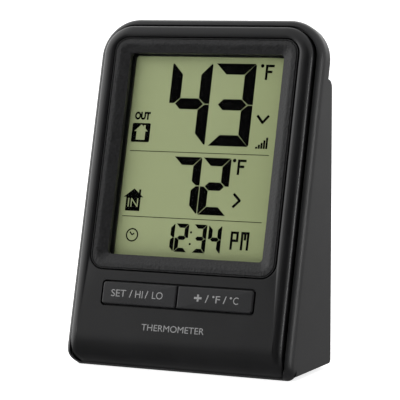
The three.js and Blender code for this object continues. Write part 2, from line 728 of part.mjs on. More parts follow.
HOUSING_SCREW_HEIGHTS.forEach((z, row) => {
  for (const [name, side] of [['left', -1], ['right', 1]]) {
    const mesh = piece(
      `housing_screw_${row ? 'upper' : 'lower'}_${name}`, screw(2.4, 1.6, 1.25, 8), looks.nickel);
    mesh.position.set(side * HOUSING_SCREW_X, SCREW_SEAT + CLEAR, z);
    leaning.add(mesh);
  }
});

for (const [row, place] of [['lower', BOARD_POST], ['upper', HOLDER_BOSS]]) {
  for (const [name, side] of [['left', -1], ['right', 1]]) {
    const mesh = piece(`board_screw_${row}_${name}`, screw(1.9, 1.2, 0.85, 4.5), looks.nickel);
    mesh.position.set(side * place.x, boardBack + 0.2, place.z);
    leaning.add(mesh);
  }
}

thermometer.add(piece('rear_housing', rearHousing(), looks.shell));
thermometer.add(piece('battery_door', batteryDoor(), looks.shell));

const cellShift = BAY.halfLength - 0.9 - CELL.length / 2;
CELL_HEIGHTS.forEach((z, row) => {
  const mesh = piece(`${row ? 'upper' : 'lower'}_battery`, cell(), looks.cell);
  mesh.rotation.z = row ? Math.PI : 0;
  mesh.position.set(row ? -cellShift : cellShift, CELL_Y, z);
  thermometer.add(mesh);
});

const [lowCell, highCell] = CELL_HEIGHTS;
thermometer.add(piece('negative_plate', contactPlate(-1, lowCell - 6, lowCell + 6, [lowCell]), looks.nickel));
thermometer.add(piece('positive_plate', contactPlate(-1, highCell - 6, highCell + 6, [highCell]), looks.nickel));
thermometer.add(piece('bridge_plate', contactPlate(1, lowCell - 6, highCell + 6, []), looks.nickel));
thermometer.add(piece('negative_spring', cellSpring(-1, lowCell), looks.nickel));
thermometer.add(piece('bridge_spring', cellSpring(1, highCell), looks.nickel));

thermometer.add(piece('red_lead', lead([
  [-33.2, CELL_Y, highCell], [-33.8, CELL_Y, highCell + 4], [-33.4, CELL_Y - 2, highCell + 12],
  [-31, CELL_Y - 4.8, 46], [-27, CELL_Y - 5.4, 49],
]), looks.redWire));
thermometer.add(piece('black_lead', lead([
  [-33.2, CELL_Y, lowCell], [-34.2, CELL_Y - 1, lowCell + 4], [-33.6, CELL_Y - 5.5, lowCell + 14],
  [-33.4, CELL_Y - 6.8, 38], [-31.4, CELL_Y - 7.2, 44.6],
]), looks.blackWire));

for (const [name, side] of [['left', -1], ['right', 1]]) {
  const foot = new THREE.CylinderGeometry(FOOT.radius, FOOT.radius - 0.4, FOOT.height, ROUND_SIDES);
  const mesh = piece(`rubber_foot_${name}`, foot.rotateX(Math.PI / 2), looks.rubber);
  mesh.position.set(side * FOOT.x, REAR_Y - FOOT.inset, FOOT.height / 2);
  thermometer.add(mesh);
}

export default thermometer;
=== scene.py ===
# Desk maximum-minimum thermometer: fine surfaces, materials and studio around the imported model.
#
# Shapes are worked out in millimetres as arrays of points (x, y, z). "Leaning" pieces are drawn in
# the face's own frame: x across, y the depth behind the face, z up along it. The rest are upright.
import math

import bpy
import numpy as np
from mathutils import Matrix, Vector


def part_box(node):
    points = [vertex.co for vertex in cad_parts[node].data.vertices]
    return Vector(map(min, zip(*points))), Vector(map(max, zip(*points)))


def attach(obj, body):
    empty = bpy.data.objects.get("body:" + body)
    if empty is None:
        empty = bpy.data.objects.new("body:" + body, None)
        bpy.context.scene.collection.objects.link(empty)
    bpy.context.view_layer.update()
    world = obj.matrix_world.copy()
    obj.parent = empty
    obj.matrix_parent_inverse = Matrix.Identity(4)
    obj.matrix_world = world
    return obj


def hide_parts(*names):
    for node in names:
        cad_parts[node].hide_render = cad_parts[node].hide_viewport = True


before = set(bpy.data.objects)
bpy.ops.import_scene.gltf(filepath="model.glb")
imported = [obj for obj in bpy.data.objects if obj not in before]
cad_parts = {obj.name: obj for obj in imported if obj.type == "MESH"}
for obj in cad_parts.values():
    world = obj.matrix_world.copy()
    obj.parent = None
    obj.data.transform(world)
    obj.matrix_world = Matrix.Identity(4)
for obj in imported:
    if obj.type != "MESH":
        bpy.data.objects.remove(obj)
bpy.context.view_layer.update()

MM = 0.001

# Case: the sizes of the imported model, with slightly softer edges and lower corners
LEAN = math.radians(15)
CASE_WIDTH = 89
RIM = {"bottom": 0.35, "top": 128.7, "low": 4.2, "high": 14.5, "front": 3.2, "back": 11.1}
RIM_ROLL = 6.8
BULLNOSE = {"depth": 4, "inset": 2.4}
RIM_BACK_EDGE = 0.1
FACE = {"half": 41.5, "bottom": 0.9, "top": 125.2, "low": 4, "high": 11}
FACE_EDGE = {"depth": 2.2, "inset": 2.8}
FACE_BACK = 8.8
ROLL = 10
WALL = 2
REAR_WALL = 2.2
CLEAR = 0.3
SHADOW_GAP = {"width": 0.9, "depth": 5}
BEAD_RISE = 0.26  # the frame's inner edge lies this much deeper than its crown
GROOVE = 0.1  # the frame stands this much outside the surround's outline
WEDGE_BOTTOM = 1.6
SHOULDER_Z = 104.3
SHOULDER_RADIUS = 3.5
HEEL_RADIUS = 1.5
WEDGE_SIDE_EDGE = 0.25

# Window and display
SURROUND = {"half": 36.8, "bottom": 34.4, "top": 120.8, "corner": 5.75}
WINDOW = {"half": 30.6, "bottom": 40.4, "top": 115.1, "corner": 1.5}
SURROUND_LAND = 2.8
WINDOW_SINK = 1.6
FLANGE = {"reach": 1.5, "front": 2.3, "back": 3.3}
LENS = {"half": 33.5, "bottom": 37.8, "top": 117.7, "corner": 1.5, "front": 3.6, "back": 4.6}
GLASS = {"half": 31, "bottom": 36.6, "top": 118.4, "front": 6.2, "thickness": 1}
INK = 0.03  # thickness of the figures and of printed legends

# Keys
KEYS = {"half": 30, "bottom": 21.7, "top": 30.5, "corner": 1.5}
KEY_SPLIT = 0.5
KEY_PROUD = 0.35
KEY_CROWN = 0.15
KEY_GAP = 0.35
KEYHOLE = 0.25
KEY_STEM = {"half_width": 4, "half_height": 3, "back": 5.6}

# Fasteners, door and cells
SCREW_X = 38.6
SCREW_HEIGHTS = (14, 100)
SCREW_SEAT = 14.3
BOSS_SPLIT = 12
BOSS = {"front_radius": 2.5, "pilot_radius": 1.5, "rear_radius": 3.5, "hole_radius": 1.7, "well_radius": 2.8}
BOARD_POST = {"x": 31.4, "z": 12, "radius": 2.2, "pilot_radius": 1.1, "back": 10}
VENTS = {"half": 14, "bottom": 64, "height": 1.8, "pitch": 4.4, "count": 5}
BAY = {"half": 29, "reach": 17.8, "bottom": 5, "top": 36.4, "wall": 1.5}
DOOR = {"half": 33, "bottom": 4, "top": 40, "thickness": 1.8}
LATCH = {"half": 6, "bottom": 38.4, "top": 43.2, "reach": 6, "thickness": 1.2}
FOOT = {"x": 30, "inset": 7, "radius": 4, "height": 1.9}
CELL = {"length": 50.5, "inset": 10.2, "gap": 0.9}
CELL_HEIGHTS = (12.65, 27.95)

CORNER_STEPS = 14
EDGE_STEPS = 8
SMOOTH_ANGLE = 32

# Studio
VIEW_AZIMUTH = 25.42
VIEW_ELEVATION = 5.66
VIEW_DISTANCE = 754.4
VIEW_TARGET = (0, 2.6, 60.4)
VIEW_LENS = 187.9
ROOM = {
    "walls": 0.55, "ground": 0.24, "below": 0.1, "ceiling": 0.08,
    "gap": 0.06, "gap_at": (20, 5), "gap_cone": (32, 50),
    "window": 1.35, "window_at": (-80, 18), "window_cone": (22, 44),
    "slit": 8, "slit_at": (104, 4), "slit_cone": (3, 8),
    "back": 0.9, "back_at": (-150, 10), "back_cone": (20, 50),
}

SIN, COS = math.sin(LEAN), math.cos(LEAN)
UP_FACE = np.array([0, SIN, COS])
INTO_FACE = np.array([0, COS, -SIN])
REAR_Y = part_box("battery_door")[1].y / MM
CELL_Y = REAR_Y - CELL["inset"]


def points_of(mesh):
    """A mesh's points as one array."""
    points = np.empty(len(mesh.vertices) * 3)
    mesh.vertices.foreach_get("co", points)
    return points.reshape(-1, 3)


def face_origin():
    """The face frame's origin in the row frame, found from where the display's glass lies."""
    glass = points_of(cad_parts["display_front_glass"].data) / MM
    depth = (glass @ INTO_FACE).min() - GLASS["front"]
    height = (glass @ UP_FACE).min() - GLASS["bottom"]
    return INTO_FACE * depth + UP_FACE * height


FACE_ORIGIN = face_origin()


def to_row(points):
    """Points of the face frame in the row frame, still in millimetres."""
    x, depth, height = points[..., 0:1], points[..., 1:2], points[..., 2:3]
    return FACE_ORIGIN + x * np.array([1, 0, 0]) + depth * INTO_FACE + height * UP_FACE


def leaning_y(depth, z):
    """The upright y at which the plane "depth" behind the face meets the height z."""
    along = (z - FACE_ORIGIN[2] + depth * SIN) / COS
    return FACE_ORIGIN[1] + along * SIN + depth * COS


# ---- Surfaces ---------------------------------------------------------------------------------

def arc(centre, radius, start, end, steps):
    """Points on a circle about centre, from one angle to another, in degrees."""
    angle = np.radians(np.linspace(start, end, steps + 1))
    return np.stack([centre[0] + radius * np.cos(angle), centre[1] + radius * np.sin(angle)], -1)


def subdivided(corners, pieces):
    """A closed polyline whose straight stretches longer than 4 mm are cut into pieces, shorter
    towards both ends: the share of the way is (1 - cos(pi k / n)) / 2."""
    ahead = np.roll(corners, -1, axis=0)
    length = np.linalg.norm(ahead - corners, axis=1)
    counts = np.where(length > 4, pieces, 1)
    parts = [a + (b - a) * (1 - np.cos(math.pi * np.arange(n)[:, None] / n)) / 2
             for a, b, n in zip(corners, ahead, counts)]
    return np.concatenate(parts)


def rectangle(half, bottom, top, low, high=None, steps=CORNER_STEPS, pieces=24, middle=0):
    """A rectangle with rounded corners, anticlockwise from its lower right one, as (x, z)."""
    high = low if high is None else high
    low, high = max(low, 0.02), max(high, 0.02)
    corners = np.concatenate([
        arc((half - low, bottom + low), low, -90, 0, steps),
        arc((half - high, top - high), high, 0, 90, steps),
        arc((-half + high, top - high), high, 90, 180, steps),
        arc((-half + low, bottom + low), low, 180, 270, steps),
    ])
    return subdivided(corners, pieces) + np.array([middle, 0])


def circle(x, z, radius, sides=48):
    return arc((x, z), radius, 0, 360, sides)[:-1]


def at_depth(outline, depth):
    """An outline (x, z) set at a depth, or at one depth for each of its points."""
    y = np.broadcast_to(np.asarray(depth, float), outline.shape[:1])
    return np.stack([outline[:, 0], y, outline[:, 1]], -1)


def skin(rings, ends="capped"):
    """A mesh over rings of equally many points, from front to back: "capped" closes both ends
    with a face, "joined" carries the last ring on to the first. Rings run anticlockwise as seen
    from the front, so faces point outwards."""
    rings = np.asarray(rings, float)
    ring_count, side_count = rings.shape[:2]
    row = np.arange(ring_count if ends == "joined" else ring_count - 1)[:, None]
    side = np.arange(side_count)[None, :]
    after, beside = (row + 1) % ring_count, (side + 1) % side_count
    quads = np.stack([row * side_count + side, after * side_count + side,
                      after * side_count + beside, row * side_count + beside], -1)
    faces = quads.reshape(-1, 4).tolist()
    if ends == "capped":
        faces.append(list(range(side_count)))
        faces.append(list(range(ring_count * side_count - 1, (ring_count - 1) * side_count - 1, -1)))
    mesh = bpy.data.meshes.new("skin")
    mesh.from_pydata(rings.reshape(-1, 3).tolist(), [], faces)
    mesh.update()
    return mesh


def slab(outline, front, back, front_edge, back_edge, steps=4):
    """outline(inset) made solid between two depths. Its edges are quarter rounds: at the angle t
    the inset is r (1 - sin t) and the depth from the face r (1 - cos t)."""
    turn = np.linspace(0, math.pi / 2, steps + 1)
    rings = [at_depth(outline(front_edge * (1 - math.sin(t))), front + front_edge * (1 - math.cos(t)))
             for t in turn]
    rings += [at_depth(outline(back_edge * (1 - math.sin(t))), back - back_edge * (1 - math.cos(t)))
              for t in turn[::-1]]
    return skin(rings)


def block(low, high, edge):
    """A box between two corners, (x, y, z), with its edges rounded off."""
    corner = min(edge, (high[0] - low[0]) / 3, (high[2] - low[2]) / 3)
    edge = min(corner * 0.9, (high[1] - low[1]) / 3)

    def outline(inset):
        return rectangle((high[0] - low[0]) / 2 - inset, low[2] + inset, high[2] - inset, corner - inset,
                         steps=4, pieces=1, middle=(low[0] + high[0]) / 2)

    return slab(outline, low[1], high[1], edge, edge, 3)


def post(x, z, radius, front, back, sides=48):
    """A round bar along y, its two edges rounded off by 0.15 mm."""
    return slab(lambda inset: circle(x, z, radius - inset, sides), front, back, 0.15, 0.15, 3)


def carried(mesh, move):
    """A mesh with its points put through a function of their array."""
    mesh.vertices.foreach_set("co", move(points_of(mesh)).ravel())
    mesh.update()
    return mesh


def standing(points):
    """Carries what was made along y upright: (x, y, z) becomes (x, -z, y)."""
    return np.stack([points[:, 0], -points[:, 2], points[:, 1]], -1)


def onto_side(points):
    """Carries an outline drawn in (y, z) and made solid along x: (x, y, z) becomes (-y, x, z)."""
    return np.stack([-points[:, 1], points[:, 0], points[:, 2]], -1)


def gathered(meshes):
    """Several meshes as one, without joining their solids."""
    points, faces, count = [], [], 0
    for mesh in meshes:
        points.append(points_of(mesh))
        faces += [[count + i for i in polygon.vertices] for polygon in mesh.polygons]
        count += len(mesh.vertices)
    whole = bpy.data.meshes.new("gathered")
    whole.from_pydata(np.concatenate(points).tolist(), [], faces)
    whole.update()
    return whole


def combined(mesh, other, operation):
    """A closed mesh joined with another ("UNION"), cut by it ("DIFFERENCE") or kept only inside it
    ("INTERSECT")."""
    work = bpy.data.objects.new("work", mesh)
    tool = bpy.data.objects.new("tool", other)
    for item in (work, tool):
        bpy.context.scene.collection.objects.link(item)
    step = work.modifiers.new("step", "BOOLEAN")
    step.operation = operation
    step.object = tool
    step.solver = "EXACT"
    evaluated = work.evaluated_get(bpy.context.evaluated_depsgraph_get())
    result = bpy.data.meshes.new_from_object(evaluated)
    for item in (work, tool):
        bpy.data.objects.remove(item)
    return result


def joined(mesh, *others):
    for other in others:
        mesh = combined(mesh, other, "UNION")
    return mesh


def cut(mesh, *others):
    for other in others:
        mesh = combined(mesh, other, "DIFFERENCE")
    return mesh


def both_sides(make):
    return [make(-1), make(1)]


def add_piece(name, mesh, body, material, nodes=(), leaning=True):
    """Puts a mesh into the scene in metres, shades it smooth up to an angle and lets it ride."""
    if leaning:
        carried(mesh, to_row)
    carried(mesh, lambda points: points * MM)
    mesh.materials.clear()
    mesh.materials.append(material)
    mesh.shade_smooth()
    mesh.set_sharp_from_angle(angle=math.radians(SMOOTH_ANGLE))
    mesh.name = name
    piece = bpy.data.objects.new(name, mesh)
    bpy.context.scene.collection.objects.link(piece)
    even = piece.modifiers.new("even_shading", "WEIGHTED_NORMAL")
    even.keep_sharp = True
    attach(piece, body)
    if nodes:
        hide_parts(*nodes)
    return piece


# ---- Materials --------------------------------------------------------------------------------

def linear(hex_colour):
    """An sRGB hex colour as linear red, green, blue and alpha."""
    channels = [int(hex_colour[i:i + 2], 16) / 255 for i in (1, 3, 5)]
    return [c / 12.92 if c <= 0.04045 else ((c + 0.055) / 1.055) ** 2.4 for c in channels] + [1]


def add_node(tree, kind, inputs=None, **settings):
    """Adds a shader node. inputs maps a socket's name or number to a value or to another socket."""
    node = tree.nodes.new("ShaderNode" + kind)
    for key, value in settings.items():
        setattr(node, key, value)
    for key, value in (inputs or {}).items():
        if isinstance(value, bpy.types.NodeSocket):
            tree.links.new(value, node.inputs[key])
        else:
            node.inputs[key].default_value = value
    return node


def new_material(name, **constants):
    """A material with one Principled shader, whose constant sockets are set by name."""
    material = bpy.data.materials.new(name)
    material.use_nodes = True
    shader = material.node_tree.nodes["Principled BSDF"]
    for key, value in constants.items():
        shader.inputs[key.replace("_", " ")].default_value = value
    return material, material.node_tree, shader


def vary(tree, shader, pattern, shades=None, roughness=None, relief_mm=None):
    """Lets a pattern vary a shader: its colour, by shades = (from, to, dark, light), its roughness
    between two values, and its relief to a depth, on top of any relief that it has already. The
    pattern is a socket, or a noise given as (size of its grains in mm, detail)."""
    if isinstance(pattern, tuple):
        size_mm, detail = pattern
        pattern = add_node(tree, "TexNoise", {
            "Vector": add_node(tree, "TexCoord").outputs["Object"], "Scale": 1 / (size_mm * MM),
            "Detail": detail, "Roughness": 0.55}).outputs["Fac"]
    if shades:
        low, high, dark, light = shades
        ramp = add_node(tree, "ValToRGB", {"Fac": pattern})
        for element, position, colour in zip(ramp.color_ramp.elements, (low, high), (dark, light)):
            element.position = position
            element.color = linear(colour)
        tree.links.new(ramp.outputs["Color"], shader.inputs["Base Color"])
    if roughness:
        low, high = roughness
        spread = add_node(tree, "MapRange", {"Value": pattern, "To Min": low, "To Max": high})
        tree.links.new(spread.outputs["Result"], shader.inputs["Roughness"])
    if relief_mm:
        bump = add_node(tree, "Bump", {"Height": pattern, "Distance": relief_mm * MM, "Strength": 1.0})
        if shader.inputs["Normal"].is_linked:
            tree.links.new(shader.inputs["Normal"].links[0].from_socket, bump.inputs["Normal"])
        tree.links.new(bump.outputs["Normal"], shader.inputs["Normal"])
    return pattern


def satin_abs(name, dark, light, roughness, grain_mm, depth_mm):
    """Moulded ABS from a fine-stoned tool: black with a soft sheen, a faint flow mottle, and a
    grain so fine that it only softens the reflections."""
    material, tree, shader = new_material(name, IOR=1.53)
    vary(tree, shader, (14, 3), (0.3, 0.7, dark, light))
    vary(tree, shader, (grain_mm, 2), None, (roughness - 0.05, roughness + 0.05), depth_mm)
    return material


def spark_textured_abs():
    """Moulded ABS from a spark-eroded tool: dull, and pitted all over at about 0.35 mm, drawn at
    0.8 mm so that the grain shows."""
    material, tree, shader = new_material("spark_textured_abs", IOR=1.53)
    pits = add_node(tree, "TexVoronoi", {
        "Vector": add_node(tree, "TexCoord").outputs["Object"], "Scale": 1 / (0.8 * MM)}).outputs["Distance"]
    vary(tree, shader, pits, relief_mm=0.09)
    vary(tree, shader, (0.8, 3), (0.3, 0.7, "#060607", "#1d1d1e"), (0.42, 0.62), 0.09)
    return material


def display_film():
    """Reflective twisted-nematic glass under its anti-glare film: flat olive grey, a little
    deeper towards the right, with the reflector's fine sparkle painted in as glints: lighter
    specks mixed into the colour, over a faint relief of the same specks."""
    material, tree, shader = new_material("display_film", Roughness=0.6, IOR=1.49, Specular_IOR_Level=0.1)
    across = add_node(tree, "SeparateXYZ", {0: add_node(tree, "TexCoord").outputs["Object"]}).outputs["X"]
    share = add_node(tree, "MapRange", {
        "Value": across, "From Min": -GLASS["half"] * MM, "From Max": GLASS["half"] * MM}).outputs["Result"]
    vary(tree, shader, share, (0.55, 1.0, "#8c936f", "#858c67"))
    olive = shader.inputs["Base Color"].links[0].from_socket
    # Painted glints: where the specks are high, up to 12 % of a lighter olive is mixed into the colour to
    # stand in for the reflector's sparkle of light.
    sparkle = vary(tree, shader, (0.6, 1), relief_mm=0.003)
    painted_glint_share = add_node(tree, "MapRange", {"Value": sparkle, "To Min": 0.0, "To Max": 0.12}).outputs["Result"]
    mixed = add_node(tree, "Mix", {"Factor": painted_glint_share, "A": olive, "B": linear("#9ba27b")}, data_type="RGBA")
    tree.links.new(mixed.outputs["Result"], shader.inputs["Base Color"])
    return material


def figure_black():
    """A driven liquid-crystal segment: near black, with the film's dull face over it."""
    material, tree, shader = new_material("figure_black", IOR=1.49, Specular_IOR_Level=0.02)
    vary(tree, shader, (0.4, 1), (0.2, 0.8, "#000000", "#020202"), (0.5, 0.6))
    return material


def clear_acrylic():
    """Polished acrylic sheet: it lets nearly all light through and mirrors a little of the room,
    more at a slant, where a few fine wipe marks show."""
    material = bpy.data.materials.new("clear_acrylic")
    material.use_nodes = True
    tree = material.node_tree
    tree.nodes.clear()
    gloss = add_node(tree, "BsdfGlossy", {"Color": (1, 1, 1, 1)})
    vary(tree, gloss, (5, 4), roughness=(0.03, 0.09))
    clear = add_node(tree, "BsdfTransparent", {"Color": (0.985, 0.99, 0.985, 1)})
    share = add_node(tree, "Fresnel", {"IOR": 1.07})
    mixed = add_node(tree, "MixShader", {0: share.outputs[0], 1: clear.outputs[0], 2: gloss.outputs[0]})
    add_node(tree, "OutputMaterial", {"Surface": mixed.outputs[0]})
    return material


def matt_styrene():
    """Black polystyrene, moulded dull so that it doesn't glare round the display."""
    material, tree, shader = new_material("matt_styrene", IOR=1.55)
    vary(tree, shader, (0.3, 2), (0.3, 0.7, "#070708", "#0f0f10"), (0.6, 0.75), 0.01)
    return material


def pad_printed_ink():
    """Pale grey pad-printed ink: thin, dull and slightly uneven."""
    material, tree, shader = new_material("pad_printed_ink", IOR=1.5)
    vary(tree, shader, (0.25, 2), (0.25, 0.75, "#6e6e6e", "#828282"), (0.5, 0.65))
    return material


def striped_rubber():
    """Zebra strip: silicone rubber in thin layers, every other one filled with carbon. Real layers
    are 0.05 mm; a pair of them is drawn 3.1 mm wide so that they show. A wave texture runs through
    20 radians in one unit."""
    material, tree, shader = new_material("striped_rubber", IOR=1.41, Roughness=0.7)
    stripes = add_node(tree, "TexWave", {
        "Vector": add_node(tree, "TexCoord").outputs["Object"], "Scale": 2 * math.pi / 20 / (3.1416 * MM)},
        bands_direction="X").outputs["Fac"]
    vary(tree, shader, stripes, (0.45, 0.55, "#0c0c0c", "#6d6d6a"), None, 0.02)
    return material


def solder_masked_board():
    """Glass-epoxy board under green solder mask: copper tracks 0.8 mm wide raise the mask and
    show through it as a lighter green."""
    material, tree, shader = new_material("solder_masked_board", IOR=1.5)
    tracks = add_node(tree, "TexBrick", {
        "Vector": add_node(tree, "Mapping", {
            "Vector": add_node(tree, "TexCoord").outputs["Object"],
            "Rotation": (math.radians(75), 0, 0)}).outputs[0],
        "Color1": (0, 0, 0, 1), "Color2": (0.1, 0.1, 0.1, 1), "Mortar": (1, 1, 1, 1),
        "Scale": 1.0, "Mortar Size": 0.4 * MM, "Brick Width": 9 * MM,
        "Row Height": 2.5 * MM}).outputs["Color"]
    vary(tree, shader, tracks, (0.3, 0.7, "#14401f", "#2c6a38"), None, 0.035)
    vary(tree, shader, (2, 2), roughness=(0.28, 0.4))
    return material


def cured_epoxy():
    """Potting resin that set in a drop: black, glossy, with shallow sags."""
    material, tree, shader = new_material("cured_epoxy", IOR=1.55, Roughness=0.18)
    vary(tree, shader, (3, 2), (0.3, 0.7, "#0a0a0a", "#161616"), None, 0.12)
    return material


def moulded_nylon():
    """Glass-filled nylon of small parts: black, dull, with a dry grain."""
    material, tree, shader = new_material("moulded_nylon", IOR=1.53)
    vary(tree, shader, (0.3, 3), (0.3, 0.7, "#101010", "#1e1e1f"), (0.45, 0.65), 0.012)
    return material


def nickel_plate():
    """Nickel-plated steel: warm grey metal with the drawing marks of the wire or strip."""
    material, tree, shader = new_material("nickel_plate", Metallic=1.0)
    vary(tree, shader, (0.8, 4), (0.2, 0.8, "#a9a69f", "#d2cfc8"), (0.22, 0.42), 0.01)
    return material


def enamelled_copper():
    """Copper wire under clear enamel: orange metal, darker where the enamel is thick."""
    material, tree, shader = new_material("enamelled_copper", Metallic=1.0, Coat_Weight=0.6)
    vary(tree, shader, (0.7, 2), (0.2, 0.8, "#8e4720", "#c9794a"), (0.25, 0.4))
    return material


def printed_sleeve(name, sign):
    """Shrink sleeve of a cell: deep blue film, a grey band at the end with the contact button and
    bare steel at both ends. sign is 1 where the button points to +x."""
    material, tree, shader = new_material(name, IOR=1.5)
    along = add_node(tree, "SeparateXYZ", {0: add_node(tree, "TexCoord").outputs["Object"]}).outputs["X"]
    middle, half = sign * (BAY["half"] - CELL["gap"] - CELL["length"] / 2), sign * CELL["length"] / 2
    share = add_node(tree, "MapRange", {
        "Value": along, "From Min": (middle - half) * MM, "From Max": (middle + half) * MM}).outputs["Result"]
    bands = {
        "Base Color": ((0.0, linear("#b5b4b0")), (0.012, linear("#16405f")), (0.70, linear("#8b8f93")),
                       (0.955, linear("#bdbab4"))),
        "Metallic": ((0.0, (1, 1, 1, 1)), (0.012, (0.3, 0.3, 0.3, 1)), (0.955, (1, 1, 1, 1))),
    }
    for socket, stops in bands.items():
        ramp = add_node(tree, "ValToRGB", {"Fac": share})
        ramp.color_ramp.interpolation = "CONSTANT"
        ramp.color_ramp.elements[0].color = stops[0][1]
        ramp.color_ramp.elements[-1].position = stops[-1][0]
        ramp.color_ramp.elements[-1].color = stops[-1][1]
        for position, value in stops[1:-1]:
            ramp.color_ramp.elements.new(position).color = value
        tree.links.new(ramp.outputs["Color"], shader.inputs[socket])
    vary(tree, shader, (4, 3), None, (0.22, 0.38), 0.03)
    return material


def pvc_insulation(name, dark, light):
    """Extruded PVC: a soft gloss with slight waviness along the lead."""
    material, tree, shader = new_material(name, IOR=1.53)
    vary(tree, shader, (1.5, 2), (0.3, 0.7, dark, light), (0.35, 0.5), 0.03)
    return material


def foot_rubber():
    """Die-cut rubber foot: matt, fine-grained, a little dusty."""
    material, tree, shader = new_material("foot_rubber", IOR=1.52)
    vary(tree, shader, (0.6, 4), (0.35, 0.75, "#161616", "#2b2a28"), (0.8, 0.95), 0.03)
    return material


FRONT_ABS = satin_abs("satin_abs_front", "#0c0c0d", "#111112", 0.30, 0.6, 0.003)
REAR_ABS = satin_abs("satin_abs_rear", "#111112", "#171718", 0.38, 0.6, 0.004)
KEY_ABS = satin_abs("satin_abs_key", "#121213", "#18181a", 0.42, 0.5, 0.004)
SPARK_ABS = spark_textured_abs()
DISPLAY_FILM = display_film()
FIGURE_BLACK = figure_black()
ACRYLIC = clear_acrylic()
STYRENE = matt_styrene()
PRINT_INK = pad_printed_ink()
ZEBRA = striped_rubber()
BOARD = solder_masked_board()
EPOXY = cured_epoxy()
NYLON = moulded_nylon()
NICKEL = nickel_plate()
COPPER = enamelled_copper()
RUBBER = foot_rubber()


# ---- Front shell, surround and window ---------------------------------------------------------

def face_outline(inset):
    return rectangle(FACE["half"] - inset, FACE["bottom"] + inset, FACE["top"] - inset,
                     FACE["low"] - inset, FACE["high"] - inset)


def surround_outline(inset):
    return rectangle(SURROUND["half"] - inset, SURROUND["bottom"] + inset, SURROUND["top"] - inset,
                     SURROUND["corner"] - inset)


def roll_depth(height, front, bottom, radius):
    """How deep the roll along the lower edge lies: front + r - sqrt(r^2 - (bottom + r - z)^2)."""
    below = np.clip(bottom + radius - height, 0, radius)
    return front + radius - np.sqrt(radius ** 2 - below ** 2)


def front_shell():
    """The front shell as one ring-shaped skin: from the surround's edge over the frame, round the
    outer edge, along the skirt and back inside. Between the surround's outline a and the outer one
    b the face is (1 - t) a + t b, and its depth is the bead's, rise (1 - t / crest)^2 and 0 past
    the crest. All of it is set back by the roll's depth, so that the rounded edge follows it."""
    def face_roll(outline):
        return roll_depth(outline[:, 1], 0, FACE["bottom"], ROLL)

    def wall_roll(outline):
        return roll_depth(outline[:, 1], 0, FACE["bottom"] + WALL, ROLL - WALL)

    rings = []
    start = surround_outline(-GROOVE)
    above = np.clip((start[:, 1] - SURROUND["bottom"] + 1) / 6, 0, 1)
    rise = BEAD_RISE * (0.25 + 0.75 * above ** 2 * (3 - 2 * above))
    lip, crest = 0.15, 0.75
    for t in np.linspace(0, math.pi / 2, 4):
        outline = surround_outline(-GROOVE - lip * (1 - math.cos(t)))
        rings.append(at_depth(outline, rise + lip * (1 - math.sin(t))))
    inner, outer = surround_outline(-GROOVE - lip), face_outline(FACE_EDGE["inset"])
    for t in np.linspace(0, 1, 34)[1:]:
        outline = inner + (outer - inner) * t
        rings.append(at_depth(outline, rise * np.clip(1 - t / crest, 0, 1) ** 2 + face_roll(outline)))
    for t in np.linspace(0, math.pi / 2, EDGE_STEPS + 1)[1:]:
        outline = face_outline(FACE_EDGE["inset"] * (1 - math.sin(t)))
        depth = face_roll(outline) + FACE_EDGE["depth"] * (1 - math.cos(t))
        rings.append(at_depth(outline, np.minimum(depth, FACE_BACK - 0.4)))
    rings.append(at_depth(face_outline(0), FACE_BACK - 0.2))
    rings.append(at_depth(face_outline(0.2), FACE_BACK))
    for inset, depth in ((WALL, FACE_BACK), (WALL, WALL + 0.8), (WALL + 0.8, WALL)):
        outline = face_outline(inset)
        rings.append(at_depth(outline, np.minimum(depth + wall_roll(outline), FACE_BACK)))
    rings.append(at_depth(surround_outline(-GROOVE), WALL))
    return skin(rings, "joined")


def keyhole_outline(inset):
    return rectangle(KEYS["half"] + KEYHOLE - inset, KEYS["bottom"] - KEYHOLE + inset,
                     KEYS["top"] + KEYHOLE - inset, KEYS["corner"] - inset, pieces=12)


def flared(outline, front, back, lip):
    """A cutter that leaves a rounded lip where it enters at the depth "front"."""
    turn = np.linspace(0, math.pi / 2, 5)
    rings = [at_depth(outline(-lip), front - 2)]
    rings += [at_depth(outline(-lip * (1 - math.sin(t))), front + lip * (1 - math.cos(t))) for t in turn]
    rings.append(at_depth(outline(0), back))
    return skin(rings)


def at_screws(make):
    return [make(side * SCREW_X, z) for z in SCREW_HEIGHTS for side in (-1, 1)]


def front_housing():
    bosses = at_screws(lambda x, z: post(x, z, BOSS["front_radius"], WALL - 0.2, BOSS_SPLIT - CLEAR))
    pilots = at_screws(lambda x, z: post(x, z, BOSS["pilot_radius"], WALL + 1, BOSS_SPLIT + 1, sides=24))
    x, z, back, pilot = BOARD_POST["x"], BOARD_POST["z"], BOARD_POST["back"], BOARD_POST["pilot_radius"]
    bosses += both_sides(lambda side: post(side * x, z, BOARD_POST["radius"], WALL - 0.2, back))
    pilots += both_sides(lambda side: post(side * x, z, pilot, WALL + 1, back + 2, sides=24))
    shell = cut(front_shell(), flared(keyhole_outline, 0, 6, 0.12))
    return cut(joined(shell, gathered(bosses)), gathered(pilots))


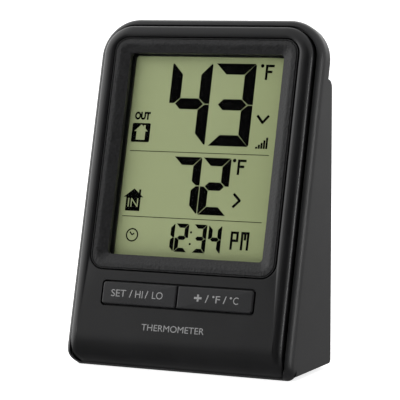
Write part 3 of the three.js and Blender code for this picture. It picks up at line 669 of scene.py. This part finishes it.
def window_surround():
    """The surround as one ring-shaped skin: rounded outer edge, level land with a fine moulded line
    near the edge, the slope down to the window, and the flange behind the front shell. The slope's
    depth grows with the square of t up to 0.3 and evenly from there on."""
    edge, outside, land = 0.15, CLEAR + 0.1, 0.05
    at, width, depth = 0.85, 0.22, 0.4
    rings = [at_depth(surround_outline(outside), 1.2)]
    for t in np.linspace(0, math.pi / 2, 5):
        outline = surround_outline(outside + edge * (1 - math.cos(t)))
        rings.append(at_depth(outline, land + edge * (1 - math.sin(t))))
    for inset, down in ((at - width, 0), (at - width / 2, depth), (at + width / 2, depth), (at + width, 0)):
        rings.append(at_depth(surround_outline(inset), land + down))
    window = rectangle(WINDOW["half"], WINDOW["bottom"], WINDOW["top"], WINDOW["corner"])
    first = surround_outline(SURROUND_LAND - 0.6)
    for t in np.linspace(0, 1, 18):
        ease = np.where(t < 0.3, t * t / 0.6, t - 0.15) / 0.85
        rings.append(at_depth(first + (window - first) * t, land + (WINDOW_SINK - land) * ease))
    rings.append(at_depth(window, FLANGE["back"]))
    rings.append(at_depth(surround_outline(-FLANGE["reach"]), FLANGE["back"]))
    rings.append(at_depth(surround_outline(-FLANGE["reach"]), FLANGE["front"]))
    rings.append(at_depth(surround_outline(CLEAR), FLANGE["front"]))
    mesh = skin(np.asarray(rings)[::-1][:, ::-1], "joined")
    room = at_screws(lambda x, z: post(x, z, BOSS["front_radius"] + CLEAR, 2.2, 4.3, sides=24))
    return cut(mesh, gathered(room))


def window_lens():
    def outline(inset):
        return rectangle(LENS["half"] - inset, LENS["bottom"] + inset, LENS["top"] - inset,
                         LENS["corner"] - inset)
    return slab(outline, LENS["front"], LENS["back"], 0.12, 0.12)


def display_glass():
    def outline(inset):
        return rectangle(GLASS["half"] - inset, GLASS["bottom"] + inset, GLASS["top"] - inset, 0.4 - inset)
    return slab(outline, GLASS["front"], GLASS["front"] + GLASS["thickness"], 0.1, 0.1)


add_piece("front_shell", front_housing(), "case", FRONT_ABS, ["front_housing"])
add_piece("surround", window_surround(), "case", SPARK_ABS, ["window_surround"])
add_piece("window_sheet", window_lens(), "case", ACRYLIC, ["window_lens"])
add_piece("display_face", display_glass(), "case", DISPLAY_FILM, ["display_front_glass"])


# ---- Figures and legends ----------------------------------------------------------------------

FIGURE_DEPTH = GLASS["front"] - INK - 0.02


def plate(points, depth, thickness=INK):
    """A flat shape in the face's plane, its corners (x, z) in order either way round, made a thin
    solid."""
    corners = np.asarray(points, float)
    ahead = np.roll(corners, -1, axis=0)
    area = (corners[:, 0] * ahead[:, 1] - ahead[:, 0] * corners[:, 1]).sum()
    corners = corners if area > 0 else corners[::-1]
    return skin([at_depth(corners, depth), at_depth(corners, depth + thickness)])


def stroke(start, end, width, depth=FIGURE_DEPTH):
    """A bar from one point to another."""
    start, end = np.asarray(start, float), np.asarray(end, float)
    along = (end - start) / np.linalg.norm(end - start)
    across = np.array([-along[1], along[0]]) * width / 2
    return plate([start - across, end - across, end + across, start + across], depth)


SEGMENTS = {"1": "bc", "2": "abged", "3": "abgcd", "4": "fgbc", "7": "abc"}


def digit(figure, left, bottom, width, height, bar, stem, gap):
    """A seven-segment figure. bar is how thick its level segments are, stem its upright ones and
    gap the slits between them. Ends are mitred at the corners, and the middle bar is a hexagon."""
    right, top, middle = left + width, bottom + height, bottom + height / 2
    half, slit, tip = bar / 2, gap / 2, stem / 2

    def level(outer, inner):
        return [(left + slit + 0.1, outer), (left + stem, inner),
                (right - stem, inner), (right - slit - 0.1, outer)]

    def upright(outer, inner, end, reach):
        near = middle + math.copysign(slit, end - middle)
        turn = math.copysign(half + slit, end - middle)
        corner = math.copysign(slit + 0.1, end - middle)
        return [(outer, near), (outer, end - corner - math.copysign(0.3, end - middle)),
                (outer + (inner - outer) * 0.1, end - corner), (inner, end - reach - corner),
                (inner, middle + turn), (outer + (inner - outer) * 0.45, near)]

    shapes = {
        "a": level(top, top - bar),
        "d": level(bottom, bottom + bar),
        "g": [(left + tip + slit, middle), (left + stem, middle + half), (right - stem, middle + half),
              (right - tip - slit, middle), (right - stem, middle - half), (left + stem, middle - half)],
        "f": upright(left, left + stem - slit, top, bar),
        "b": upright(right, right - stem + slit, top, bar),
        "e": upright(left, left + stem - slit, bottom, -bar),
        "c": upright(right, right - stem + slit, bottom, -bar),
    }
    return [plate(shapes[name], FIGURE_DEPTH) for name in SEGMENTS[figure]]


def lettering(text, left, bottom, height, width, depth=FIGURE_DEPTH, weight=0.0):
    """Plain sans-serif capitals as a thin solid, stretched to a height and a width. The polygon
    edges that only one polygon uses get a side face."""
    curve = bpy.data.curves.new("lettering", "FONT")
    curve.body = text
    curve.offset = weight
    holder = bpy.data.objects.new("lettering", curve)
    bpy.context.scene.collection.objects.link(holder)
    evaluated = holder.evaluated_get(bpy.context.evaluated_depsgraph_get())
    flat = bpy.data.meshes.new_from_object(evaluated)
    bpy.data.objects.remove(holder)
    points = points_of(flat)
    low, size = points.min(0), np.ptp(points, axis=0)
    points = (points - low) * [width / size[0], height / size[1], 1] + [left, bottom, 0]
    front = np.stack([points[:, 0], np.full(len(points), depth), points[:, 1]], -1)
    count = len(front)
    polygons = [list(polygon.vertices) for polygon in flat.polygons]
    edges = dict.fromkeys((a, b) for polygon in polygons for a, b in zip(polygon, polygon[1:] + polygon[:1]))
    outer = [(a, b) for a, b in edges if (b, a) not in edges]
    faces = polygons + [[i + count for i in reversed(polygon)] for polygon in polygons]
    faces += [[a, a + count, b + count, b] for a, b in outer]
    solid = bpy.data.meshes.new("lettering")
    solid.from_pydata(np.concatenate([front, front + [0, INK, 0]]).tolist(), [], faces)
    solid.update()
    return solid


def fahrenheit(left, bottom):
    """The degree dot and a thin F."""
    pen, width, height, dot_radius = 0.92, 3.35, 5.6, 0.68
    stem, inner = left + pen / 2, left + pen + 0.03
    arm, bar = bottom + height - pen / 2, bottom + height * 0.53
    return [
        plate(circle(left - 1.35, bottom + height - 0.45, dot_radius, 20), FIGURE_DEPTH),
        stroke((stem, bottom), (stem, bottom + height), pen),
        stroke((inner, arm), (left + width, arm), pen),
        stroke((inner, bar), (left + width * 0.8, bar), pen),
    ]


def house_points(left, bottom, width, body_height, roof_height, overhang):
    """A house's outline: walls, eaves, and a chimney on the right of the roof."""
    right, middle, eaves = left + width, left + width / 2, bottom + body_height
    slope = roof_height / (width / 2 + overhang)
    chimney_left, chimney_right = right - 0.9, right - 0.1
    top = eaves + roof_height - 0.3
    return [
        (left, bottom), (right, bottom), (right, eaves), (right + overhang, eaves),
        (chimney_right, eaves + (right + overhang - chimney_right) * slope), (chimney_right, top),
        (chimney_left, top), (chimney_left, eaves + (right + overhang - chimney_left) * slope),
        (middle, eaves + roof_height), (left - overhang, eaves), (left, eaves),
    ]


def outdoor_sign():
    """A black rounded square with the house left clear in it."""
    def outline(inset):
        return rectangle(3.7 - inset, 82.68 + inset, 89.76 - inset, 0.5, steps=6, pieces=1, middle=-25.15)
    square = slab(outline, FIGURE_DEPTH, FIGURE_DEPTH + INK, 0.0, 0.0, 1)
    house = plate(house_points(-26.95, 83.5, 3.6, 3.2, 2.6, 1.0), FIGURE_DEPTH - 0.5, 1)
    return cut(square, house)


def indoor_sign():
    """A black house with the letters left clear in it."""
    house = plate(house_points(-27.95, 57.1, 5.85, 5.1, 3.2, 1.1), FIGURE_DEPTH)
    letters = lettering("IN", -27.1, 58.6, 3.2, 4.1, FIGURE_DEPTH - 0.5)
    deep = carried(letters, lambda points: points + np.where(
        points[:, 1:2] > FIGURE_DEPTH - 0.49, [[0, 1, 0]], [[0, 0, 0]]))
    return cut(house, deep)


def signal_bars():
    """Five bars, each taller than the last."""
    bottom, width, pitch = 81.7, 0.76, 0.98
    tops = (82.4, 83.15, 83.9, 84.8, 85.8)
    return [stroke((x, bottom), (x, top), width) for x, top in zip(21.53 + pitch * np.arange(5), tops)]


def clock_sign(x, z):
    """A ring and two hands."""
    radius, pen = 2.5, 0.5
    around = circle(0, 0, 1, 40)
    ring = skin([at_depth(around * radius + [x, z], FIGURE_DEPTH),
                 at_depth(around * radius + [x, z], FIGURE_DEPTH + INK),
                 at_depth(around * (radius - pen) + [x, z], FIGURE_DEPTH + INK),
                 at_depth(around * (radius - pen) + [x, z], FIGURE_DEPTH)], "joined")
    hands = [stroke((x, z), (x - 1.0, z + 1.1), pen), stroke((x, z), (x + 0.8, z + 0.65), pen)]
    return [ring, *hands]


def afternoon_sign():
    """P and M in the same stiff strokes as the time."""
    pen, low, high = 0.9, 44.9, 51.5
    middle = (low + high) / 2
    p, m = 15.4, 19.45
    return [
        stroke((p + pen / 2, low), (p + pen / 2, high), pen),
        stroke((p + pen, high - pen / 2), (p + 3.1, high - pen / 2), pen),
        stroke((p + pen, middle), (p + 3.1, middle), pen),
        stroke((p + 3.1 - pen / 2, middle + pen / 2), (p + 3.1 - pen / 2, high - pen), pen),
        stroke((m + pen / 2, low), (m + pen / 2, high), pen),
        stroke((m + pen, high - pen / 2), (m + 3.2, high - pen / 2), pen),
        stroke((m + 1.6, high - pen), (m + 1.6, middle + 0.3), pen),
        stroke((m + 3.2 - pen / 2, low), (m + 3.2 - pen / 2, high - pen), pen),
    ]


def figure_row(text, lefts, bottom, width, height, bar, stem, gap):
    rows = [digit(name, left, bottom, width, height, bar, stem, gap) for name, left in zip(text, lefts)]
    return [segment for row in rows for segment in row]


def chevron(start, tip, end):
    """Two strokes that overlap a little where they meet: tip holds the first one's end and the
    second one's start."""
    pen = 0.95
    return [stroke(start, tip[0], pen), stroke(tip[1], end, pen)]


def display_figures():
    """Everything that the display shows: outdoor figures on top, indoor ones, and the time."""
    figures = figure_row("43", (-15.05, 2.2), 82.2, 16.15, 30.4, 4.05, 4.5, 0.3)
    figures += figure_row("72", (-10.4, 1.2), 56.9, 11.3, 20.9, 3.0, 3.4, 0.3)
    figures += figure_row("1234", (-12.0, -6.5, 0.7, 6.6), 43.05, 5.2, 10.3, 1.5, 1.65, 0.14)
    figures += [plate(circle(-0.3, z, 0.42, 16), FIGURE_DEPTH) for z in (50.35, 46.1)]
    figures += fahrenheit(21.95, 106.8)
    figures += fahrenheit(15.05, 71.95)
    figures += chevron((20.65, 93.8), ((23.1, 91.0), (22.75, 91.0)), (25.2, 93.8))
    figures += chevron((14.8, 65.1), ((17.55, 62.45), (17.55, 62.8)), (14.85, 60.15))
    figures += [stroke((-28.7, z), (26.8, z), 0.24) for z in (79.4, 55.15)]
    figures += signal_bars()
    figures += clock_sign(-23.85, 48.3)
    figures += afternoon_sign()
    figures.append(lettering("OUT", -28.3, 91.0, 3.0, 6.3, weight=0.06))
    figures += [outdoor_sign(), indoor_sign()]
    return gathered(figures)


add_piece("display_figures", display_figures(), "case", FIGURE_BLACK)


# ---- Keys ---------------------------------------------------------------------------------------

def key_cap(side):
    """One key: a crowned cap, KEY_CROWN higher in its middle, on a flange and a stem."""
    inner = KEY_SPLIT / 2
    outer = KEYS["half"] - KEY_GAP
    low, high = KEYS["bottom"] + KEY_GAP, KEYS["top"] - KEY_GAP
    centre, half = side * (inner + outer) / 2, (outer - inner) / 2
    edge = 0.45

    def outline(inset):
        """Round corners only at the outer end; the split's corners are nearly square."""
        corner = KEYS["corner"] - KEY_GAP - inset
        whole = rectangle(half - inset, low + inset, high - inset, corner, pieces=20)
        square = rectangle(half - inset, low + inset, high - inset, max(0.35 - inset, 0.05), pieces=20)
        outside = (whole[:, 0] * side > 0)[:, None]
        return np.where(outside, whole, square) + np.array([centre, 0])

    middle = np.array([centre, (low + high) / 2])
    front = outline(edge)
    rings = [at_depth(middle + (front - middle) * share, -KEY_PROUD - KEY_CROWN * (1 - share ** 2))
             for share in np.linspace(0.04, 0.98, 12)]
    rings += [at_depth(outline(edge * (1 - math.sin(t))), -KEY_PROUD + edge * (1 - math.cos(t)))
              for t in np.linspace(0, math.pi / 2, 5)]
    rings.append(at_depth(outline(0), WALL + 0.5))
    x_low, x_high = sorted((side * inner, side * (outer + 1)))
    flange = block((x_low, WALL + CLEAR, KEYS["bottom"] - 1), (x_high, WALL + 1.3, KEYS["top"] + 1), 0.15)
    x, z = side * KEYS["half"] / 2, (KEYS["bottom"] + KEYS["top"]) / 2
    wide, tall = KEY_STEM["half_width"], KEY_STEM["half_height"]
    stem = block((x - wide, WALL + 1, z - tall), (x + wide, KEY_STEM["back"], z + tall), 0.3)
    return joined(skin(rings), flange, stem)


LEGEND_DEPTH = -KEY_PROUD - KEY_CROWN - INK


def on_crown(mesh, side):
    """Lays a legend on its key's crowned cap: the depth follows the crown's own formula."""
    half_x, half_z = KEYS["half"] / 2, (KEYS["top"] - KEYS["bottom"]) / 2
    x_middle, z_middle = side * KEYS["half"] / 2, (KEYS["bottom"] + KEYS["top"]) / 2

    def laid(points):
        across, up = np.abs(points[:, 0] - x_middle) / half_x, np.abs(points[:, 2] - z_middle) / half_z
        points[:, 1] += KEY_CROWN * np.clip(np.maximum(across, up), 0, 1) ** 2
        return points

    return carried(mesh, laid)


def key_legend(side):
    """What the left key sets and shows, or the plus and units of the right one."""
    bottom, height, depth = 24.8, 2.55, LEGEND_DEPTH

    def words(*placed):
        return [lettering(text, left, bottom, height, width, depth) for text, left, width in placed]

    if side < 0:
        parts = words(("SET", -26.05, 5.95), ("HI", -16.35, 3.0), ("LO", -9.6, 4.15))
        slashes = (-18.15, -11.85)
    else:
        pen = 0.75
        plus = 8.42
        parts = [stroke((plus - 1.47, 26.2), (plus + 1.48, 26.2), pen, depth)]
        parts += [stroke((plus, 24.95), (plus, 25.8), pen, depth),
                  stroke((plus, 26.6), (plus, 27.5), pen, depth)]
        parts += words(("F", 15.35, 1.75), ("C", 22.15, 2.0))
        parts += [plate(circle(x, 26.95, 0.42, 16), depth) for x in (14.45, 21.2)]
        slashes = (11.95, 18.9)
    low, high = bottom - 0.05, bottom + height + 0.1
    parts += [stroke((x - 0.45, low), (x + 0.45, high), 0.38, depth) for x in slashes]
    return on_crown(gathered(parts), side)


for side_name, side in (("left", -1), ("right", 1)):
    body = side_name + "_key"
    add_piece(side_name + "_key_cap", key_cap(side), body, KEY_ABS, [body])
    add_piece(side_name + "_key_legend", key_legend(side), body, PRINT_INK)

face_word = lettering("THERMOMETER", -12.6, 13.4, 2.3, 24.6, -INK - 0.01)
add_piece("face_word", face_word, "case", PRINT_INK)


# ---- Rear shell ---------------------------------------------------------------------------------

def rim_outline(inset):
    return rectangle(CASE_WIDTH / 2 - inset, RIM["bottom"] + inset, RIM["top"] - inset,
                     RIM["low"] - inset, RIM["high"] - inset, steps=20)


def rim():
    """The arch: a rounded outline made solid. At the angle t its front edge is inset by
    i (1 - sin t) and set back by d (1 - cos t), over the roll along the lower edge."""
    rings = []
    for t in np.linspace(0, math.pi / 2, 11):
        outline = rim_outline(BULLNOSE["inset"] * (1 - math.sin(t)))
        depth = roll_depth(outline[:, 1], RIM["front"], RIM["bottom"], RIM_ROLL)
        depth = depth + BULLNOSE["depth"] * (1 - math.cos(t))
        rings.append(at_depth(outline, np.minimum(depth, RIM["back"] - 0.6)))
    for t in np.linspace(0, math.pi / 2, 5)[::-1]:
        rings.append(at_depth(rim_outline(RIM_BACK_EDGE * (1 - math.sin(t))),
                              RIM["back"] - RIM_BACK_EDGE * (1 - math.cos(t))))
    mesh = skin(rings)
    return carried(mesh, to_row)


def wedge_profile(inset):
    """The wedge's side view, (y, z), anticlockwise: heel and shoulder are arcs."""
    front, rear = 10.1, REAR_Y - inset
    low, high = WEDGE_BOTTOM + inset, SHOULDER_Z - inset
    heel, shoulder = max(HEEL_RADIUS - inset, 0.3), max(SHOULDER_RADIUS - inset, 0.3)
    corners = np.concatenate([
        [[leaning_y(front, low), low]],
        arc((rear - heel, low + heel), heel, -90, 0, 10),
        arc((rear - shoulder, high - shoulder), shoulder, 0, 90, 14),
        [[leaning_y(front, high), high]],
    ])
    return subdivided(corners, 16)


def wedge():
    half = CASE_WIDTH / 2
    mesh = slab(wedge_profile, -half, half, WEDGE_SIDE_EDGE, WEDGE_SIDE_EDGE, 6)
    return carried(mesh, onto_side)


def rim_mouth():
    """Room for the front shell: a wide mouth that leaves the shadow gap, then a close seat."""
    gap, seat = SHADOW_GAP["width"], CLEAR
    wide = rectangle(FACE["half"] + gap, 0, FACE["top"] + gap, FACE["low"] + gap, FACE["high"] + gap)
    close = rectangle(FACE["half"] + seat, 0, FACE["top"] + seat, FACE["low"] + seat, FACE["high"] + seat)
    step = SHADOW_GAP["depth"]
    end = RIM["back"] - WALL
    rings = [at_depth(wide, -5), at_depth(wide, step), at_depth(close, step), at_depth(close, end)]
    return carried(skin(rings), to_row)


def wedge_hollow():
    low, high = WEDGE_BOTTOM + REAR_WALL, SHOULDER_Z - REAR_WALL
    front, rear = RIM["back"] - WALL - 0.5, REAR_Y - REAR_WALL
    half = CASE_WIDTH / 2 - REAR_WALL
    profile = np.array([
        [leaning_y(front, low), low], [rear, low], [rear, high], [leaning_y(front, high), high]])
    return carried(skin([at_depth(profile, -half), at_depth(profile, half)]), onto_side)


def battery_bay():
    half, front, wall = BAY["half"], REAR_Y - BAY["reach"], BAY["wall"]
    back = REAR_Y - REAR_WALL + 0.1
    walls = block((-half - wall, front - wall, WEDGE_BOTTOM + 1), (half + wall, back, BAY["top"] + wall), 0.4)
    ledge = block((-35, back - 1.6, WEDGE_BOTTOM + 1), (35, back, 45.4), 0.1)
    return joined(walls, ledge)


def bay_hollow():
    half, front = BAY["half"], REAR_Y - BAY["reach"]
    room = block((-half, front, BAY["bottom"]), (half, REAR_Y + 1, BAY["top"]), 0.4)
    slots = [block((-half - BAY["wall"] - 1, CELL_Y - 2, z - 0.7), (-half + 1, CELL_Y + 2, z + 0.7), 0.1)
             for z in CELL_HEIGHTS]
    return joined(room, *slots)


def door_opening():
    plate_room = flared_block(DOOR["half"] + CLEAR, DOOR["bottom"] - CLEAR, DOOR["top"] + CLEAR,
                              REAR_Y - REAR_WALL + 0.1, 0.8, 0.25)
    finger = flared_block(LATCH["half"] + 0.5, LATCH["bottom"] - CLEAR, LATCH["top"] + 0.6,
                          REAR_Y - LATCH["reach"] - 1, 0.8, 0.25)
    return joined(plate_room, finger)


def flared_block(half, bottom, top, front, corner, lip):
    """A cutter from the rear wall's outer face inwards that leaves a rounded lip there."""
    def outline(inset):
        return rectangle(half - inset, bottom + inset, top - inset, corner - inset, steps=6, pieces=1)
    rings = [at_depth(outline(0), front)]
    for t in np.linspace(0, math.pi / 2, 5):
        rings.append(at_depth(outline(-lip * (1 - math.cos(t))), REAR_Y - lip * (1 - math.sin(t))))
    rings.append(at_depth(outline(-lip), REAR_Y + 2))
    return skin(rings)


def rear_bosses():
    return carried(gathered(at_screws(lambda x, z: post(x, z, BOSS["rear_radius"], BOSS_SPLIT, 45))), to_row)


def screw_wells():
    """A stepped bore for each screw: its hole, the seat of its head, and the well out to the rear."""
    hole, well = BOSS["hole_radius"], BOSS["well_radius"]
    profile = ((hole, BOSS_SPLIT - 1), (hole, SCREW_SEAT), (well, SCREW_SEAT), (well, 60))

    def bore(x, z):
        return skin([at_depth(circle(x, z, radius), depth) for radius, depth in profile])

    return carried(gathered(at_screws(bore)), to_row)


def vents():
    half, height = VENTS["half"], VENTS["height"]
    lows = VENTS["bottom"] + VENTS["pitch"] * np.arange(VENTS["count"])
    return gathered([flared_block(half, low, low + height, REAR_Y - 5, 0.9, 0.3) for low in lows])


def foot_recesses():
    """Round pockets in the underside for the feet."""
    cups = both_sides(lambda side: post(
        side * FOOT["x"], FOOT["inset"] - REAR_Y, FOOT["radius"] + CLEAR, -1.0, FOOT["height"] + CLEAR))
    return carried(gathered(cups), standing)


def rear_housing():
    outer = joined(rim(), wedge())
    inner_parts = combined(joined(battery_bay(), rear_bosses()), outer.copy(), "INTERSECT")
    shell = cut(outer, rim_mouth(), wedge_hollow())
    shell = joined(shell, inner_parts)
    below = block((-90, -90, -10), (90, 90, 0), 0.1)
    return cut(shell, bay_hollow(), door_opening(), screw_wells(), vents(), foot_recesses(), below)


def battery_door():
    """The door: a plate with ribs over the cells, tongues and a sprung finger latch."""
    front = REAR_Y - DOOR["thickness"]

    def outline(inset):
        return rectangle(DOOR["half"] - inset, DOOR["bottom"] + inset, DOOR["top"] - inset, 0.8 - inset,
                         steps=6, pieces=1)

    door = slab(outline, front, REAR_Y, 0.1, 0.3)
    ribs = [block((x - 0.6, front - 0.8, 8), (x + 0.6, front + 0.2, 34), 0.15) for x in (-18, 0, 18)]
    low, high = BAY["bottom"] + CLEAR, BAY["bottom"] + 1.3
    tongues = both_sides(lambda side: block(
        (side * 20 - 4, front - 3.2, low), (side * 20 + 4, front + 0.2, high), 0.2))
    half, deep, thick = LATCH["half"], REAR_Y - LATCH["reach"], LATCH["thickness"]
    latch = joined(
        block((-half, deep, LATCH["bottom"]), (half, front + 0.2, LATCH["bottom"] + thick), 0.3),
        block((-half, deep, LATCH["bottom"]), (half, deep + thick, LATCH["top"]), 0.3),
        block((-half, deep, LATCH["top"] - thick), (half, REAR_Y - 0.6, LATCH["top"]), 0.3))
    return joined(door, gathered(ribs + tongues), latch)


add_piece("rear_shell", rear_housing(), "case", REAR_ABS, ["rear_housing"], leaning=False)
add_piece("bay_door", battery_door(), "battery_door", REAR_ABS, ["battery_door"], leaning=False)


# ---- Materials of the model's own nodes ---------------------------------------------------------

NODE_MATERIALS = {
    "display_holder": STYRENE,
    "display_rear_glass": DISPLAY_FILM,
    "zebra_strip": ZEBRA,
    "main_board": BOARD,
    "receiver_board": BOARD,
    "chip_cover": EPOXY,
    "clock_crystal": NICKEL,
    "smoothing_capacitor": NYLON,
    "indoor_sensor": EPOXY,
    "antenna_coil": COPPER,
    "negative_plate": NICKEL,
    "positive_plate": NICKEL,
    "bridge_plate": NICKEL,
    "negative_spring": NICKEL,
    "bridge_spring": NICKEL,
    "lower_battery": printed_sleeve("printed_sleeve_lower", 1),
    "upper_battery": printed_sleeve("printed_sleeve_upper", -1),
    "red_lead": pvc_insulation("red_pvc", "#8f1c1c", "#a52424"),
    "black_lead": pvc_insulation("black_pvc", "#131313", "#1c1c1c"),
    "rubber_foot_left": RUBBER,
    "rubber_foot_right": RUBBER,
}
for side_name in ("left", "right"):
    NODE_MATERIALS[side_name + "_switch"] = NYLON
    NODE_MATERIALS[side_name + "_switch_plunger"] = NYLON
    for row in ("upper", "lower"):
        NODE_MATERIALS[f"housing_screw_{row}_{side_name}"] = NICKEL
        NODE_MATERIALS[f"board_screw_{row}_{side_name}"] = NICKEL

for node_name, material in NODE_MATERIALS.items():
    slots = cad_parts[node_name].data.materials
    slots.clear()
    slots.append(material)


# ---- Studio -------------------------------------------------------------------------------------

def add_floor():
    """A plain white lit sheet that the object stands on. It isn't mirrored in the black case."""
    mesh = bpy.data.meshes.new("floor")
    mesh.from_pydata([(-20, -20, 0), (20, -20, 0), (20, 20, 0), (-20, 20, 0)], [], [(0, 1, 2, 3)])
    floor = bpy.data.objects.new("floor", mesh)
    bpy.context.scene.collection.objects.link(floor)
    material, tree, shader = new_material("white_sheet", Roughness=0.9, Emission_Strength=0.8)
    shader.inputs["Emission Color"].default_value = (1, 1, 1, 1)
    vary(tree, shader, (3, 2), (0.2, 0.8, "#d9d9d9", "#e2e2e2"))
    mesh.materials.append(material)
    floor.visible_glossy = False


def add_lamp(name, place, aim, size, power):
    """A large soft lamp at a place, turned to face a point; metres and watts. What the case
    mirrors is the room, so the lamp itself isn't mirrored."""
    lamp = bpy.data.lights.new(name, "AREA")
    lamp.shape = "RECTANGLE"
    lamp.size, lamp.size_y = size
    lamp.energy = power
    holder = bpy.data.objects.new(name, lamp)
    bpy.context.scene.collection.objects.link(holder)
    holder.location = place
    direction = np.asarray(aim, float) - np.asarray(place, float)
    yaw = math.atan2(direction[1], direction[0]) - math.pi / 2
    pitch = math.atan2(direction[2], math.hypot(direction[0], direction[1])) + math.pi / 2
    holder.rotation_euler = (pitch, 0, yaw)
    holder.visible_glossy = False


def towards(azimuth, elevation):
    """The direction at an azimuth, counted from the front to the right, and an elevation."""
    a, e = math.radians(azimuth), math.radians(elevation)
    return (math.sin(a) * math.cos(e), -math.cos(a) * math.cos(e), math.sin(e))


def within(tree, direction, centre, inner, outer):
    """1 inside a cone of directions about centre, 0 outside a wider one, smooth between."""
    along = add_node(tree, "VectorMath", {0: direction, 1: centre}, operation="DOT_PRODUCT").outputs["Value"]
    return add_node(tree, "MapRange", {
        "Value": along, "From Min": math.cos(math.radians(outer)), "From Max": math.cos(math.radians(inner))},
        interpolation_type="SMOOTHSTEP").outputs["Result"]


def add_room():
    """The grey room round the sheet, by direction: a dark gap in front, a large soft window high on
    the left, a lit slit on the right, a pale wall behind, a pale ceiling, and darker towards the
    ground."""
    world = bpy.data.worlds.new("grey_room")
    world.use_nodes = True
    tree = world.node_tree
    direction = add_node(tree, "TexCoord").outputs["Generated"]
    height = add_node(tree, "SeparateXYZ", {0: direction}).outputs["Z"]

    def plus(*values):
        total = values[0]
        for value in values[1:]:
            total = add_node(tree, "Math", {0: total, 1: value}, operation="ADD").outputs[0]
        return total

    def times(value, factor):
        return add_node(tree, "Math", {0: value, 1: factor}, operation="MULTIPLY").outputs[0]

    walls = add_node(tree, "MapRange", {
        "Value": height, "From Min": -0.17, "From Max": 0.0,
        "To Min": ROOM["ground"], "To Max": ROOM["walls"]},
        interpolation_type="SMOOTHSTEP").outputs["Result"]
    floor_share = add_node(tree, "MapRange", {
        "Value": height, "From Min": -0.75, "From Max": -0.17, "To Min": ROOM["below"] / ROOM["ground"],
        "To Max": 1.0}).outputs["Result"]
    gap = within(tree, direction, towards(*ROOM["gap_at"]), *ROOM["gap_cone"])
    open_share = add_node(tree, "MapRange", {
        "Value": gap, "To Min": 1.0, "To Max": ROOM["gap"]}).outputs["Result"]
    window = within(tree, direction, towards(*ROOM["window_at"]), *ROOM["window_cone"])
    slit = within(tree, direction, towards(*ROOM["slit_at"]), *ROOM["slit_cone"])
    back = within(tree, direction, towards(*ROOM["back_at"]), *ROOM["back_cone"])
    ceiling = within(tree, direction, (0, 0, 1), 20, 55)
    light = plus(
        times(times(walls, floor_share), open_share), times(window, ROOM["window"]),
        times(slit, ROOM["slit"]), times(back, ROOM["back"]), times(ceiling, ROOM["ceiling"]))
    tree.links.new(light, tree.nodes["Background"].inputs["Strength"])
    tree.nodes["Background"].inputs["Color"].default_value = (1, 1, 1, 1)
    bpy.context.scene.world = world


def add_camera():
    """A long lens at the height of the display, a quarter turn's third to the right."""
    camera = bpy.data.cameras.new("camera")
    camera.lens = VIEW_LENS
    camera.sensor_width = 36
    camera.clip_end = 20
    holder = bpy.data.objects.new("camera", camera)
    bpy.context.scene.collection.objects.link(holder)
    back = np.array(towards(VIEW_AZIMUTH, VIEW_ELEVATION))
    holder.location = (np.array(VIEW_TARGET) + back * VIEW_DISTANCE) * MM
    holder.rotation_euler = (math.radians(90 - VIEW_ELEVATION), 0, math.radians(VIEW_AZIMUTH))
    bpy.context.scene.camera = holder


add_floor()
add_room()
add_lamp("front_lamp", (-0.35, -1.3, 0.9), (0, 0, 0.06), (1.2, 1.2), 12.3)
add_lamp("top_lamp", (0.2, 0.3, 1.4), (0, 0, 0.0), (1.4, 1.4), 6.8)
add_camera()
bpy.context.scene.view_settings.view_transform = "Standard"
